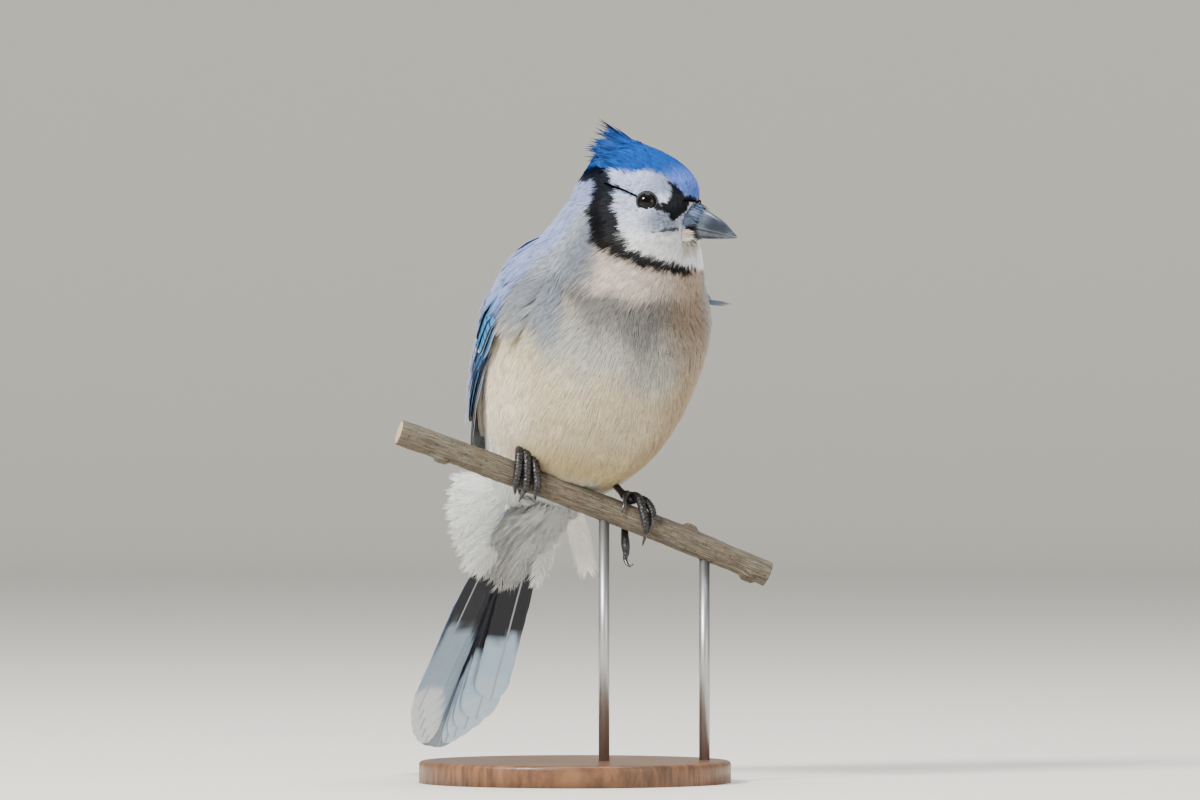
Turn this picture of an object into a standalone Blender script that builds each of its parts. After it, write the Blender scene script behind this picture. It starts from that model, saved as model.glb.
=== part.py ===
"""A life-size blue jay on a short cut branch, held over the table by a plain display stand.

Metres, +Z up. The origin is the centre of the stand's underside. The viewer of the front view
looks along +Y, so the bird's breast faces -Y and its head is turned to +X.
"""

import math

import bpy
import bmesh
from mathutils import Vector

MM = 0.001
GAP = 0.3

# Stand and branch, in millimetres.
BASE_RADIUS = 64.0
BASE_THICKNESS = 9.0
BASE_EDGE = 1.6
ROD_RADIUS = 2.2
ROD_PLACES = (13.0, 58.0)
PERCH_HEIGHT = 117.0
PERCH_RADIUS = 5.15
PERCH_ENDS = (-78.0, 87.0)
PERCH_FORWARD = 7.5
PERCH_SLOPE = 20.6
PERCH_TURN = 12.0

# The bird's own directions. Yaw turns it from facing the viewer towards +X.
BODY_YAW = 27.0
BODY_PITCH = 54.0
HEAD_YAW = 72.0
TAIL_PITCH = 53.0
TAIL_ROOT = (-43.0, -4.5, 0.0)
TAIL_SHIFT = 5.5
TAIL_TURN = 1.2
HEAD_CENTRE = (48.0, -4.4, 121.0)

# Rings of the body from the tail root up to the crown: centre (forward, right, up), turn and
# lean of the ring, then its reach to the front, to the back and to each side. The trunk's
# rings give the distance along its axis, the three reaches and how far right they lie.
TRUNK = (
    (-4.0, 0.0, 0.0, 0.0, -2.0),
    (-1.0, 11.0, 8.5, 13.0, -2.0),
    (4.0, 18.0, 12.5, 19.0, -2.0),
    (14.0, 25.5, 15.0, 25.0, -3.0),
    (28.0, 36.0, 18.0, 31.5, -4.5),
    (46.0, 46.0, 22.0, 38.5, -5.0),
    (66.0, 51.5, 26.0, 43.0, -5.0),
    (86.0, 52.5, 29.0, 44.5, -5.5),
    (105.0, 50.5, 29.0, 42.0, -6.5),
    (119.0, 43.0, 28.0, 36.0, -6.0),
)
NECK = (
    (38.0, -5.0, 107.0, 14.0, 22.0, 32.0, 30.0, 29.5),
    (44.5, -4.0, 115.0, 32.0, 9.0, 26.5, 29.5, 24.0),
)
# Level slices of the head: height over its centre, then front, back and side.
HEAD_SLICES = (
    (0.5, 25.6, 28.5, 18.0),
    (6.5, 25.0, 26.0, 17.2),
    (11.5, 21.8, 22.5, 15.8),
    (15.8, 16.8, 20.0, 13.6),
    (19.2, 11.0, 18.0, 10.8),
    (21.8, 5.0, 14.5, 7.2),
    (23.4, -4.0, 4.0, 0.0),
)

# Reach of the surface that the folded wings lie on: along the body, side, back.
WING_SHELL = (
    (-26.0, 20.5, 8.0),
    (0.0, 28.5, 15.0),
    (28.0, 37.5, 21.5),
    (46.0, 41.8, 25.0),
    (66.0, 45.2, 28.5),
    (86.0, 46.2, 31.0),
    (105.0, 42.0, 31.5),
    (122.0, 33.5, 30.0),
)

EYE_RADIUS = 4.9
EYE_PLACE = (8.2, 13.8, -1.2)
LID_RADIUS = 4.1

UP = Vector((0, 0, 1))


def heading(yaw):
    """The level direction that yaw degrees point to, and the one to its right hand."""
    a = math.radians(yaw)
    return Vector((math.sin(a), -math.cos(a), 0)), Vector((-math.cos(a), -math.sin(a), 0))


FORWARD, RIGHT = heading(BODY_YAW)
BODY_ORIGIN = Vector((0, 0, PERCH_HEIGHT))
PERCH_MID = Vector((0, -PERCH_FORWARD, PERCH_HEIGHT))


def in_body(forward, right, up):
    return BODY_ORIGIN + FORWARD * forward + RIGHT * right + UP * up


def in_head(forward, right, up):
    ahead, side = heading(HEAD_YAW)
    return in_body(*HEAD_CENTRE) + ahead * forward + side * right + UP * up


def along_body(along):
    """A point on the body's axis, in millimetres from the tail root."""
    pitch = math.radians(BODY_PITCH)
    f, r, z = TAIL_ROOT
    return (f + along * math.cos(pitch), r, z + along * math.sin(pitch))


def curve_through(rows, t):
    """Catmull-Rom through rows of numbers; t counts rows."""
    i = min(max(int(math.floor(t)), 0), len(rows) - 2)
    u = t - i
    before = rows[max(i - 1, 0)]
    start, end = rows[i], rows[i + 1]
    after = rows[min(i + 2, len(rows) - 1)]
    found = []
    for a, b, c, d in zip(before, start, end, after):
        slope_b, slope_c = (c - a) / 2, (d - b) / 2
        found.append(
            b * (2 * u**3 - 3 * u**2 + 1)
            + slope_b * (u**3 - 2 * u**2 + u)
            + c * (3 * u**2 - 2 * u**3)
            + slope_c * (u**3 - u**2)
        )
    return found


def by_first(rows, value):
    """The other columns of rows, read straight between the two whose first column holds value."""
    for low, high in zip(rows, rows[1:]):
        if value <= high[0]:
            break
    u = (value - low[0]) / (high[0] - low[0])
    return [a + (b - a) * u for a, b in zip(low[1:], high[1:])]


def body_rows():
    lean = 90.0 - BODY_PITCH
    rows = []
    for along, front, back, side, right in TRUNK:
        f, _, z = along_body(along)
        rows.append((f, right, z, 0.0, lean, front, back, side))
    rows += list(NECK)
    f, r, z = HEAD_CENTRE
    turn = HEAD_YAW - BODY_YAW
    rows += [(f, r, z + up, turn, 0.0, front, back, side) for up, front, back, side in HEAD_SLICES]
    return rows


BODY_ROWS = body_rows()


def ring_point(row, angle):
    """A point on a body ring. Angle 0 is the front, a quarter turn is the right side."""
    f, r, z, turn, lean, front, back, side = row
    ahead, right = heading(BODY_YAW + turn)
    tilt = math.radians(lean)
    down_front = ahead * math.cos(tilt) - UP * math.sin(tilt)
    reach = front if math.cos(angle) > 0 else back
    return (
        in_body(f, r, z)
        + down_front * reach * math.cos(angle)
        + right * max(side, 0.0) * math.sin(angle)
    )


def body_point(share, angle):
    """share runs from 0 at the tail root to 1 at the crown."""
    return ring_point(curve_through(BODY_ROWS, share * (len(BODY_ROWS) - 1)), angle)


def shell_point(along, angle):
    """A point of the surface that the wings lie on, with angle in degrees from the front."""
    side, back = by_first(WING_SHELL, along)
    f, r, z = along_body(along)
    lean = 90.0 - BODY_PITCH
    return ring_point((f, r, z, 0.0, lean, side, back, side), math.radians(angle))


# Tools for making objects.

for old in list(bpy.data.objects):
    bpy.data.objects.remove(old)


def collection(name):
    made = bpy.data.collections.new(name)
    bpy.context.scene.collection.children.link(made)
    return made


PARTS = collection("blue_jay")
HELPERS = collection("cutters_and_pieces")
HELPERS.hide_render = True


def finish_of(name, colour, roughness, metallic=0.0):
    made = bpy.data.materials.new(name)
    made.use_nodes = True
    shader = made.node_tree.nodes["Principled BSDF"]
    shader.inputs["Base Color"].default_value = (*colour, 1.0)
    shader.inputs["Roughness"].default_value = roughness
    shader.inputs["Metallic"].default_value = metallic
    return made


FINISH = {
    "breast": finish_of("breast_grey_white", (0.66, 0.62, 0.58), 0.85),
    "head": finish_of("crest_blue", (0.12, 0.26, 0.62), 0.7),
    "wing": finish_of("wing_blue", (0.06, 0.28, 0.62), 0.6),
    "tail": finish_of("tail_slate", (0.2, 0.23, 0.28), 0.6),
    "bill": finish_of("bill_black", (0.04, 0.045, 0.05), 0.3),
    "eye": finish_of("eye_dark", (0.02, 0.014, 0.01), 0.06),
    "foot": finish_of("foot_black", (0.05, 0.045, 0.05), 0.5),
    "perch": finish_of("twig_bark", (0.33, 0.26, 0.19), 0.85),
    "base": finish_of("stand_wood", (0.24, 0.15, 0.09), 0.5),
    "rod": finish_of("stand_steel", (0.5, 0.5, 0.5), 0.35, 1.0),
}


def add(name, bm):
    """An object from a bmesh whose points are in millimetres."""
    bmesh.ops.scale(bm, vec=(MM, MM, MM), verts=bm.verts)
    mesh = bpy.data.meshes.new(name)
    bm.to_mesh(mesh)
    bm.free()
    made = bpy.data.objects.new(name, mesh)
    HELPERS.objects.link(made)
    return made


def remove(*objects):
    for obj in objects:
        bpy.data.objects.remove(obj)


def applied(obj, name=None):
    """Replaces obj's mesh by its evaluated one, with no modifiers left."""
    graph = bpy.context.evaluated_depsgraph_get()
    mesh = bpy.data.meshes.new_from_object(obj.evaluated_get(graph))
    obj.modifiers.clear()
    obj.data = mesh
    if name:
        obj.name = name
    return obj


def boolean(obj, other, operation, solver="EXACT"):
    """Cuts obj by, or joins it to, another object or all those of a collection."""
    step = obj.modifiers.new(operation.lower(), "BOOLEAN")
    step.operation = operation
    step.solver = solver
    if isinstance(other, bpy.types.Collection):
        step.operand_type = "COLLECTION"
        step.collection = other
    else:
        step.object = other
    return applied(obj)


def keep_largest(obj):
    """Keeps the largest closed surface of obj's mesh."""
    bm = bmesh.new()
    bm.from_mesh(obj.data)
    unseen = set(bm.verts)
    islands = []
    while unseen:
        island = set()
        edge_of_search = [unseen.pop()]
        while edge_of_search:
            vert = edge_of_search.pop()
            island.add(vert)
            near = {e.other_vert(vert) for e in vert.link_edges} & unseen
            unseen -= near
            edge_of_search += near
        islands.append(island)
    islands.sort(key=lambda island: -spread(island))
    dropped = [v for island in islands[1:] for v in island]
    bmesh.ops.delete(bm, geom=dropped, context="VERTS")
    bmesh.ops.triangulate(bm, faces=bm.faces)
    bm.to_mesh(obj.data)
    bm.free()
    return obj


def spread(verts):
    """The diagonal of the box round some vertices."""
    low = [min(v.co[i] for v in verts) for i in range(3)]
    high = [max(v.co[i] for v in verts) for i in range(3)]
    return (Vector(high) - Vector(low)).length


def join(core, pieces):
    """Fuses the pieces into core in one union, and keeps one closed body."""
    group = collection(core.name + "_pieces")
    for piece in pieces:
        group.objects.link(piece)
        HELPERS.objects.unlink(piece)
    boolean(core, group, "UNION")
    remove(*pieces)
    bpy.data.collections.remove(group)
    return keep_largest(core)


def grown(obj, distance):
    """A copy of obj whose surface stands distance millimetres further out, for use as a cutter."""
    bm = bmesh.new()
    bm.from_mesh(obj.data)
    bm.normal_update()
    for vert, normal in [(v, v.normal.copy()) for v in bm.verts]:
        vert.co += normal * distance * MM
    mesh = bpy.data.meshes.new(obj.name + "_grown")
    bm.to_mesh(mesh)
    bm.free()
    made = bpy.data.objects.new(obj.name + "_grown", mesh)
    HELPERS.objects.link(made)
    return made


def carve(obj, other):
    """Cuts obj back so that it stays a gap clear of other."""
    cutter = grown(other, GAP)
    boolean(obj, cutter, "DIFFERENCE", "MANIFOLD")
    remove(cutter)
    return keep_largest(obj)


def face_outward(bm):
    """Turns a closed mesh's faces outwards."""
    bm.normal_update()
    bmesh.ops.recalc_face_normals(bm, faces=bm.faces)
    if bm.calc_volume(signed=True) < 0:
        bmesh.ops.reverse_faces(bm, faces=bm.faces)


def mapped_sphere(around, rings, place):
    """A UV sphere whose points move to place(share, angle), with share 0 to 1 from pole to pole."""
    bm = bmesh.new()
    bmesh.ops.create_uvsphere(bm, u_segments=around, v_segments=rings, radius=1)
    for vert in bm.verts:
        share = 1 - math.acos(max(-1.0, min(1.0, vert.co.z))) / math.pi
        vert.co = place(share, math.atan2(vert.co.y, vert.co.x))
    face_outward(bm)
    bmesh.ops.triangulate(bm, faces=bm.faces)
    return bm


def egg(name, centre, axes, around=12, rings=8):
    """An ellipsoid: centre, and three half-axis vectors."""
    first, second, third = axes

    def place(share, angle):
        lift = math.pi * (share - 0.5)
        level = math.cos(lift)
        return (
            centre
            + first * math.cos(angle) * level
            + second * math.sin(angle) * level
            + third * math.sin(lift)
        )

    return add(name, mapped_sphere(around, rings, place))


def tube(name, points, radii, sides=2):
    """A rounded rod through points in millimetres, as a mesh, with a radius at each point."""
    curve = bpy.data.curves.new(name, "CURVE")
    curve.dimensions = "3D"
    curve.bevel_depth = MM
    curve.bevel_resolution = sides
    curve.use_fill_caps = True
    line = curve.splines.new("POLY")
    line.points.add(len(points) - 1)
    for knot, point, radius in zip(line.points, points, radii):
        knot.co = (*(point * MM), 1)
        knot.radius = radius
    guide = bpy.data.objects.new(name + "_line", curve)
    HELPERS.objects.link(guide)
    graph = bpy.context.evaluated_depsgraph_get()
    mesh = bpy.data.meshes.new_from_object(guide.evaluated_get(graph))
    remove(guide)
    bm = bmesh.new()
    bm.from_mesh(mesh)
    bmesh.ops.remove_doubles(bm, verts=bm.verts, dist=1e-6)
    face_outward(bm)
    bmesh.ops.triangulate(bm, faces=bm.faces)
    bmesh.ops.scale(bm, vec=(1 / MM, 1 / MM, 1 / MM), verts=bm.verts)
    return add(name, bm)


VANE_ROWS = ((0.0, 0.45), (0.3, 0.85), (0.66, 1.0), (0.9, 0.82), (1.0, 0.2))
WING_ROWS = ((0.0, 0.5), (0.5, 0.95), (0.88, 0.86), (1.0, 0.22))
RECTRIX_ROWS = ((0.0, 0.35), (0.4, 0.8), (0.75, 1.0), (0.94, 0.9), (1.0, 0.32))
LOCK_ROWS = ((0.0, 0.7), (0.42, 1.0), (0.78, 0.62), (1.0, 0.12))


def vane(name, frame_at, inner, outer, thickness=0.7, keel=0.25, rows=VANE_ROWS):
    """A feather's blade, as a thin closed plate.

    frame_at(t) gives its midline point at t from root 0 to tip 1, with the directions across
    and up. inner and outer are its half-widths on the two sides of the shaft, and keel is how
    far the shaft stands above the edges. Both faces have the same triangles.
    """
    bm = bmesh.new()
    bmesh.ops.create_grid(bm, x_segments=2, y_segments=len(rows) - 1, size=1)
    lift = {}
    for vert in bm.verts:
        row = round((vert.co.y + 1) / 2 * (len(rows) - 1))
        t, share = rows[row]
        centre, across, up = frame_at(t)
        column = round(vert.co.x)
        half = (outer if column > 0 else inner) * share
        drop = keel * abs(column)
        vert.co = centre + across * column * half - up * drop
        lift[vert] = up * thickness * (1.0 - 0.3 * t)
    bmesh.ops.triangulate(bm, faces=bm.faces)
    below = list(bm.verts)
    made = bmesh.ops.extrude_face_region(bm, geom=bm.faces[:], use_keep_orig=True)
    above = [v for v in made["geom"] if isinstance(v, bmesh.types.BMVert)]
    by_place = {tuple(v.co): v for v in below}
    for vert in above:
        vert.co += lift[by_place[tuple(vert.co)]]
    face_outward(bm)
    return add(name, bm)


def settle(obj, finish):
    """Moves a finished node to the parts, with one material."""
    PARTS.objects.link(obj)
    HELPERS.objects.unlink(obj)
    obj.data.materials.clear()
    obj.data.materials.append(FINISH[finish])
    for face in obj.data.polygons:
        face.material_index = 0
    return obj


# The body in one piece, parted at the neck.

def whole_body():
    return add("whole_body", mapped_sphere(32, 38, body_point))


def sliced(source, name, planes):
    """A copy of source with what lies beyond each plane (point, outward normal) cut off."""
    bm = bmesh.new()
    bm.from_mesh(source.data)
    for point, normal in planes:
        cut = bmesh.ops.bisect_plane(
            bm,
            geom=bm.verts[:] + bm.edges[:] + bm.faces[:],
            dist=1e-7,
            plane_co=(point + normal * -GAP / 2) * MM,
            plane_no=normal,
            clear_outer=True,
        )
        rim = [e for e in cut["geom_cut"] if isinstance(e, bmesh.types.BMEdge)]
        bmesh.ops.contextual_create(bm, geom=rim)
    bmesh.ops.triangulate(bm, faces=bm.faces)
    face_outward(bm)
    mesh = bpy.data.meshes.new(name)
    bm.to_mesh(mesh)
    bm.free()
    made = bpy.data.objects.new(name, mesh)
    HELPERS.objects.link(made)
    return made


def leaning(yaw, lean):
    ahead, _ = heading(yaw)
    tilt = math.radians(lean)
    return ahead * math.sin(tilt) + UP * math.cos(tilt)


COLLAR = (in_head(-2, 0, -7.5), leaning(HEAD_YAW, 34))
SHOULDERS = (in_body(26, -3, 96), leaning(BODY_YAW + 10, 12))


def parted_body():
    whole = whole_body()
    head = sliced(whole, "head", [(COLLAR[0], -COLLAR[1])])
    neck = sliced(whole, "neck", [COLLAR, (SHOULDERS[0], -SHOULDERS[1])])
    torso = sliced(whole, "torso", [SHOULDERS])
    remove(whole)
    return head, neck, torso


# Stand and branch.

def perch_direction():
    slope, turn = math.radians(PERCH_SLOPE), math.radians(PERCH_TURN)
    return Vector(
        (math.cos(slope) * math.cos(turn), math.cos(slope) * math.sin(turn), -math.sin(slope))
    )


def perch_axes():
    """Along the branch, level towards the viewer, and up square to both."""
    along = perch_direction()
    front = along.cross(UP).normalized()
    return along, front, front.cross(along).normalized()


def at_perch(along, angle, reach):
    """A point round the branch: angle 0 is the viewer's side, 90 the top, 180 the back."""
    line, front, top = perch_axes()
    a = math.radians(angle)
    return PERCH_MID + line * along + (front * math.cos(a) + top * math.sin(a)) * reach


def perch_bend(along):
    """The branch bows a little and its girth varies, but not where the feet hold it."""
    away = max(0.0, abs(along) - 34.0) / 50.0
    bow = -1.1 * away**2
    girth = 1.0 + 0.035 * math.sin(along / 6.5) * min(1.0, away * 3)
    return bow, girth


def make_perch():
    _, _, top = perch_axes()
    low, high = PERCH_ENDS
    steps = 15
    places = [low + (high - low) * i / steps for i in range(steps + 1)]
    points = []
    radii = []
    for along in places:
        bow, girth = perch_bend(along)
        points.append(at_perch(along, 0, 0) + top * bow)
        radii.append(PERCH_RADIUS * girth)
    branch = tube("perch", points, radii, sides=4)
    knots = []
    for along, angle, size in ((-58, 70, 3.0), (50, 255, 2.6), (79, 60, 3.2)):
        centre = at_perch(along, angle, PERCH_RADIUS - 0.6)
        line, _, _ = perch_axes()
        out = (at_perch(along, angle, 10) - at_perch(along, angle, 0)).normalized()
        axes = (line * size * 1.2, line.cross(out) * size * 0.8, out * size * 0.62)
        knots.append(egg(f"knot_{along}", centre, axes, 8, 6))
    return join(branch, knots)


def make_stand(perch):
    bm = bmesh.new()
    bmesh.ops.create_cone(
        bm,
        cap_ends=True,
        segments=48,
        radius1=BASE_RADIUS,
        radius2=BASE_RADIUS,
        depth=BASE_THICKNESS,
    )
    bmesh.ops.translate(bm, vec=(0, 0, BASE_THICKNESS / 2), verts=bm.verts)
    rim = [e for e in bm.edges if all(abs(v.co.z - BASE_THICKNESS) < 1e-4 for v in e.verts)]
    bmesh.ops.bevel(
        bm, geom=rim, offset=BASE_EDGE, segments=2, profile=0.5, affect="EDGES", material=-1
    )
    settle(add("stand_base", bm), "base")
    for number, along in enumerate(ROD_PLACES, 1):
        head = at_perch(along, 0, 0)
        foot = BASE_THICKNESS + GAP
        bm = bmesh.new()
        bmesh.ops.create_cone(
            bm,
            cap_ends=True,
            segments=16,
            radius1=ROD_RADIUS,
            radius2=ROD_RADIUS,
            depth=head.z - foot,
        )
        middle = Vector((head.x, head.y, (head.z + foot) / 2))
        bmesh.ops.translate(bm, vec=middle, verts=bm.verts)
        settle(carve(add(f"stand_rod_{number}", bm), perch), "rod")


# Head: eyes, lids, crest and the bristles over the nostrils.

def eye_centre(side):
    forward, out, up = EYE_PLACE
    return in_head(forward, out * side, up)


def eye_out(side):
    """The way that an eye looks: out to the side and a little forward."""
    ahead, right = heading(HEAD_YAW)
    return (right * side * 0.95 + ahead * 0.3 + UP * 0.04).normalized()


# The crest's core: share of the way along its axis, then half-height and half-width.
CREST_AXIS = ((3.0, 11.5), (-22.0, 21.0))
CREST_RINGS = (
    (-0.1, 0.0, 0.0),
    (0.08, 8.0, 7.5),
    (0.35, 9.4, 7.8),
    (0.64, 8.6, 6.4),
    (0.9, 6.0, 4.0),
    (1.0, 0.0, 0.0),
)
# Its loose feathers from ridge to nape: root and tip as (forward, up), how far out the two
# lie, and the turn of the blade from level to upright.
CREST_LOCKS = (
    ((2.0, 17.5), (-14.8, 32.6), 0.0, 0.0, 90),
    ((-1.0, 18.0), (-18.2, 30.0), 2.6, 1.6, 34),
    ((-3.0, 16.0), (-21.5, 26.8), 4.2, 2.6, 54),
    ((-5.0, 14.0), (-24.2, 22.3), 5.2, 3.4, 68),
    ((-7.0, 11.5), (-22.8, 18.4), 5.8, 3.8, 78),
    ((-8.0, 8.5), (-21.2, 14.6), 6.2, 4.4, 88),
)


def crest_core():
    """The feathers of the crest below its loose tips, as one swept form."""
    last = len(CREST_RINGS) - 1
    ahead, right = heading(HEAD_YAW)
    (start_f, start_u), (end_f, end_u) = CREST_AXIS
    way = ahead * (end_f - start_f) + UP * (end_u - start_u)
    rise = right.cross(way).normalized()

    def place(share, angle):
        along, height, side = curve_through(CREST_RINGS, share * last)
        return (
            in_head(start_f, 0, start_u)
            + way * along
            + rise * math.sin(angle) * max(height, 0)
            + right * math.cos(angle) * max(side, 0)
        )

    return add("crest_core", mapped_sphere(16, 12, place))


def crest_locks():
    """Pointed feathers that lie along the crest and end loose behind it."""
    made = []
    _, right = heading(HEAD_YAW)
    for number, (root_at, tip_at, root_out, tip_out, turn) in enumerate(CREST_LOCKS):
        for side in (-1, 1) if number else (1,):
            uneven = 1.3 * math.sin(number * 2.1 + side)
            root = in_head(root_at[0], root_out * side, root_at[1])
            tip = in_head(tip_at[0] + (side < 0) * uneven, tip_out * side, tip_at[1])
            way = (tip - root).normalized()
            square = right.cross(way).normalized()
            if square.z < 0:
                square = -square
            flank = math.radians(turn) * side
            up = (square * math.cos(flank) + right * math.sin(flank)).normalized()
            across = up.cross(way).normalized()

            def frame_at(t, root=root, tip=tip, across=across, up=up):
                bow = up * 3.4 * t * (1 - t)
                return root + (tip - root) * t + bow - up * 0.8, across, up

            made.append(
                vane(f"crest_{number}_{side}", frame_at, 3.3, 3.3, 1.5, 0.3, LOCK_ROWS)
            )
    return made


def nasal_bristles():
    """Short stiff feathers that lie forward over the nostrils, three on each side."""
    made = []
    for side in (-1, 1):
        for number, (out, up) in enumerate(((1.6, 0.2), (3.4, -2.6), (4.6, -5.6))):
            root = in_head(22.0, out * side * 1.25, up - 0.4)
            tip = in_head(31.2 - 0.9 * number, out * side * 0.92, up - 4.2)
            ahead, right = heading(HEAD_YAW)
            outward = (right * side * (0.25 + 0.33 * number) + UP * (0.9 - 0.25 * number)).normalized()
            way = (tip - root).normalized()
            across = way.cross(outward).normalized()

            def frame_at(t, root=root, tip=tip, across=across, outward=outward):
                return root + (tip - root) * t - outward * 0.6, across, outward

            made.append(
                vane(f"bristle_{side}_{number}", frame_at, 1.7, 1.7, 1.3, 0.2, LOCK_ROWS)
            )
    return made


def lid(side):
    """The ring of skin round an eye."""
    centre, out = eye_centre(side), eye_out(side)
    depth = math.sqrt(EYE_RADIUS**2 - LID_RADIUS**2)
    across = out.cross(UP).normalized()
    rise = across.cross(out).normalized()
    middle = centre + out * (depth + 0.1)
    bm = bmesh.new()
    thick = 0.8
    bmesh.ops.create_circle(bm, segments=6, radius=thick)
    turn = [(v, v.co.copy()) for v in bm.verts]
    for vert, flat in turn:
        vert.co = middle + across * (LID_RADIUS + 0.25 + flat.x) + out * flat.y
    bmesh.ops.spin(
        bm,
        geom=bm.verts[:] + bm.edges[:],
        cent=middle,
        axis=out,
        angle=2 * math.pi,
        steps=18,
        use_merge=True,
    )
    bmesh.ops.remove_doubles(bm, verts=bm.verts, dist=0.01)
    face_outward(bm)
    bmesh.ops.triangulate(bm, faces=bm.faces)
    for vert in bm.verts:
        offset = vert.co - middle
        vert.co = middle + offset - rise * offset.dot(rise) * 0.08
    return add(f"lid_{side}", bm)


def make_eyes_and_head(head):
    pieces = [crest_core()] + crest_locks() + nasal_bristles()
    pieces += [lid(-1), lid(1)]
    join(head, pieces)
    for side, name in ((-1, "eye_left"), (1, "eye_right")):
        out = eye_out(side)
        across = out.cross(UP).normalized()
        rise = across.cross(out)
        axes = (across * EYE_RADIUS, rise * EYE_RADIUS, out * EYE_RADIUS)
        eye = egg(name, eye_centre(side), axes, 16, 10)
        carve(head, eye)
        settle(eye, "eye")


# Bill.

# Slices of the closed bill from inside the face to the tip: forward, height of the ridge,
# of the mouth line and of the keel below, and half-width.
BILL_SLICES = (
    (19.0, -2.4, -11.3, -15.4, 6.2),
    (22.5, -2.2, -11.5, -15.6, 6.0),
    (26.0, -3.0, -12.0, -15.9, 5.3),
    (30.0, -4.8, -12.8, -16.1, 4.4),
    (33.5, -6.9, -13.5, -16.2, 3.6),
    (37.0, -9.5, -14.2, -16.2, 2.6),
    (40.2, -12.9, -14.9, -16.0, 1.4),
    (42.0, -14.9, -15.3, -15.8, 0.5),
)


def bill_half(name, upper):
    """One mandible: half-oval slices between the mouth line and the ridge or the keel."""
    around = 12
    half_gap = GAP / 2 + 0.03
    last = len(BILL_SLICES) - 1

    def place(share, angle):
        t = min(max((share - 0.02) / 0.96, 0.0), 1.0) * last
        forward, ridge, mouth, keel, side = curve_through(BILL_SLICES, t)
        edge = mouth + half_gap if upper else mouth - half_gap
        reach = max((ridge - edge) if upper else (edge - keel), 0.15)
        shrink = 1.0 if 0.0 < share < 1.0 else 0.0
        right = math.cos(angle) * max(side, 0.3) * shrink * (1.0 if upper else 0.93)
        up = max(math.sin(angle), 0.0) * reach * shrink
        return in_head(forward, right, edge + up if upper else edge - up)

    return add(name, mapped_sphere(around, 14, place))


def make_bill(head):
    for name, upper in (("bill_upper", True), ("bill_lower", False)):
        half = bill_half(name, upper)
        carve(head, half)
        settle(half, "bill")


# Legs and feet.

# The two feet: where each holds the branch, and its toes. A toe's knots run from its root over
# the branch to the claw's tip, each as (along the branch, angle round it, reach, radius).
FEET = {
    "right": (
        -22.5,
        {
            "inner": (
                (1.8, 100, 9.8, 1.6),
                (3.0, 60, 8.8, 1.7),
                (3.8, 25, 7.4, 1.7),
                (4.0, -10, 7.2, 1.6),
                (3.8, -36, 7.1, 1.45),
                (3.7, -50, 7.3, 0.95),
                (3.8, -64, 7.7, 0.7),
                (3.8, -74, 7.9, 0.3),
            ),
            "middle": (
                (0.0, 100, 10.4, 1.8),
                (-0.2, 62, 9.8, 1.8),
                (-0.4, 25, 7.6, 1.75),
                (-0.6, -12, 7.3, 1.65),
                (-0.9, -40, 7.2, 1.5),
                (-1.6, -56, 7.6, 1.05),
                (-2.4, -72, 9.0, 0.75),
                (-3.0, -81, 10.2, 0.3),
            ),
            "outer": (
                (-1.8, 100, 10.0, 1.7),
                (-3.2, 62, 9.4, 1.75),
                (-4.2, 25, 7.5, 1.7),
                (-4.8, -10, 7.2, 1.6),
                (-5.2, -38, 7.1, 1.45),
                (-5.3, -52, 7.3, 1.0),
                (-5.0, -66, 7.8, 0.7),
                (-4.7, -76, 8.2, 0.3),
            ),
            "hind": (
                (0.0, 112, 8.5, 1.6),
                (0.0, 150, 7.4, 1.5),
                (-0.2, 190, 7.2, 1.5),
                (-0.4, 225, 7.2, 1.35),
                (-0.5, 248, 7.3, 0.9),
                (-0.5, 268, 7.7, 0.6),
                (-0.5, 280, 8.1, 0.3),
            ),
        },
    ),
    "left": (
        25.5,
        {
            "inner": (
                (-1.2, 98, 8.4, 1.5),
                (-2.8, 80, 8.6, 1.6),
                (-3.9, 60, 7.7, 0.95),
                (-5.0, 32, 6.8, 0.7),
                (-6.0, 4, 6.5, 0.3),
            ),
            "middle": (
                (0.3, 98, 8.8, 1.7),
                (2.2, 66, 9.3, 1.7),
                (3.6, 30, 7.6, 1.65),
                (4.4, -2, 7.3, 1.5),
                (4.7, -24, 7.5, 1.0),
                (4.5, -44, 7.9, 0.85),
                (4.1, -58, 8.8, 0.6),
                (3.8, -66, 9.8, 0.3),
            ),
            "outer": (
                (1.8, 98, 8.4, 1.5),
                (5.0, 78, 9.0, 1.6),
                (7.4, 52, 8.3, 1.55),
                (8.0, 28, 7.4, 1.3),
                (7.6, 8, 6.9, 0.9),
                (6.8, -8, 6.6, 0.6),
                (6.2, -20, 6.5, 0.3),
            ),
            "hind": (
                (-0.4, 112, 8.0, 1.6),
                (-0.8, 150, 7.4, 1.5),
                (-1.2, 186, 7.5, 1.5),
                (-1.6, 222, 9.3, 1.5),
                (-1.6, 243, 12.0, 1.75),
                (-1.6, 252, 14.4, 1.3),
                (-2.1, 256, 16.4, 0.9),
                (-1.6, 262, 18.0, 0.75),
                (-0.3, 266, 18.2, 0.5),
                (0.8, 268, 16.9, 0.25),
            ),
        },
    ),
}
LEG_TOPS = {"right": (-13.0, 20.0, 26.0), "left": (-4.0, -10.0, 15.0)}
LEG_RADIUS = 1.3
TOE_STEPS = 2
ANKLES = {"right": 0.0, "left": -3.0}


def at_toe(along, angle, reach):
    """A point round the branch in an upright plane, because toes hang straight down over it."""
    lean = math.tan(math.radians(PERCH_SLOPE)) * reach * math.sin(math.radians(angle))
    return at_perch(along - lean, angle, reach)


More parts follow.
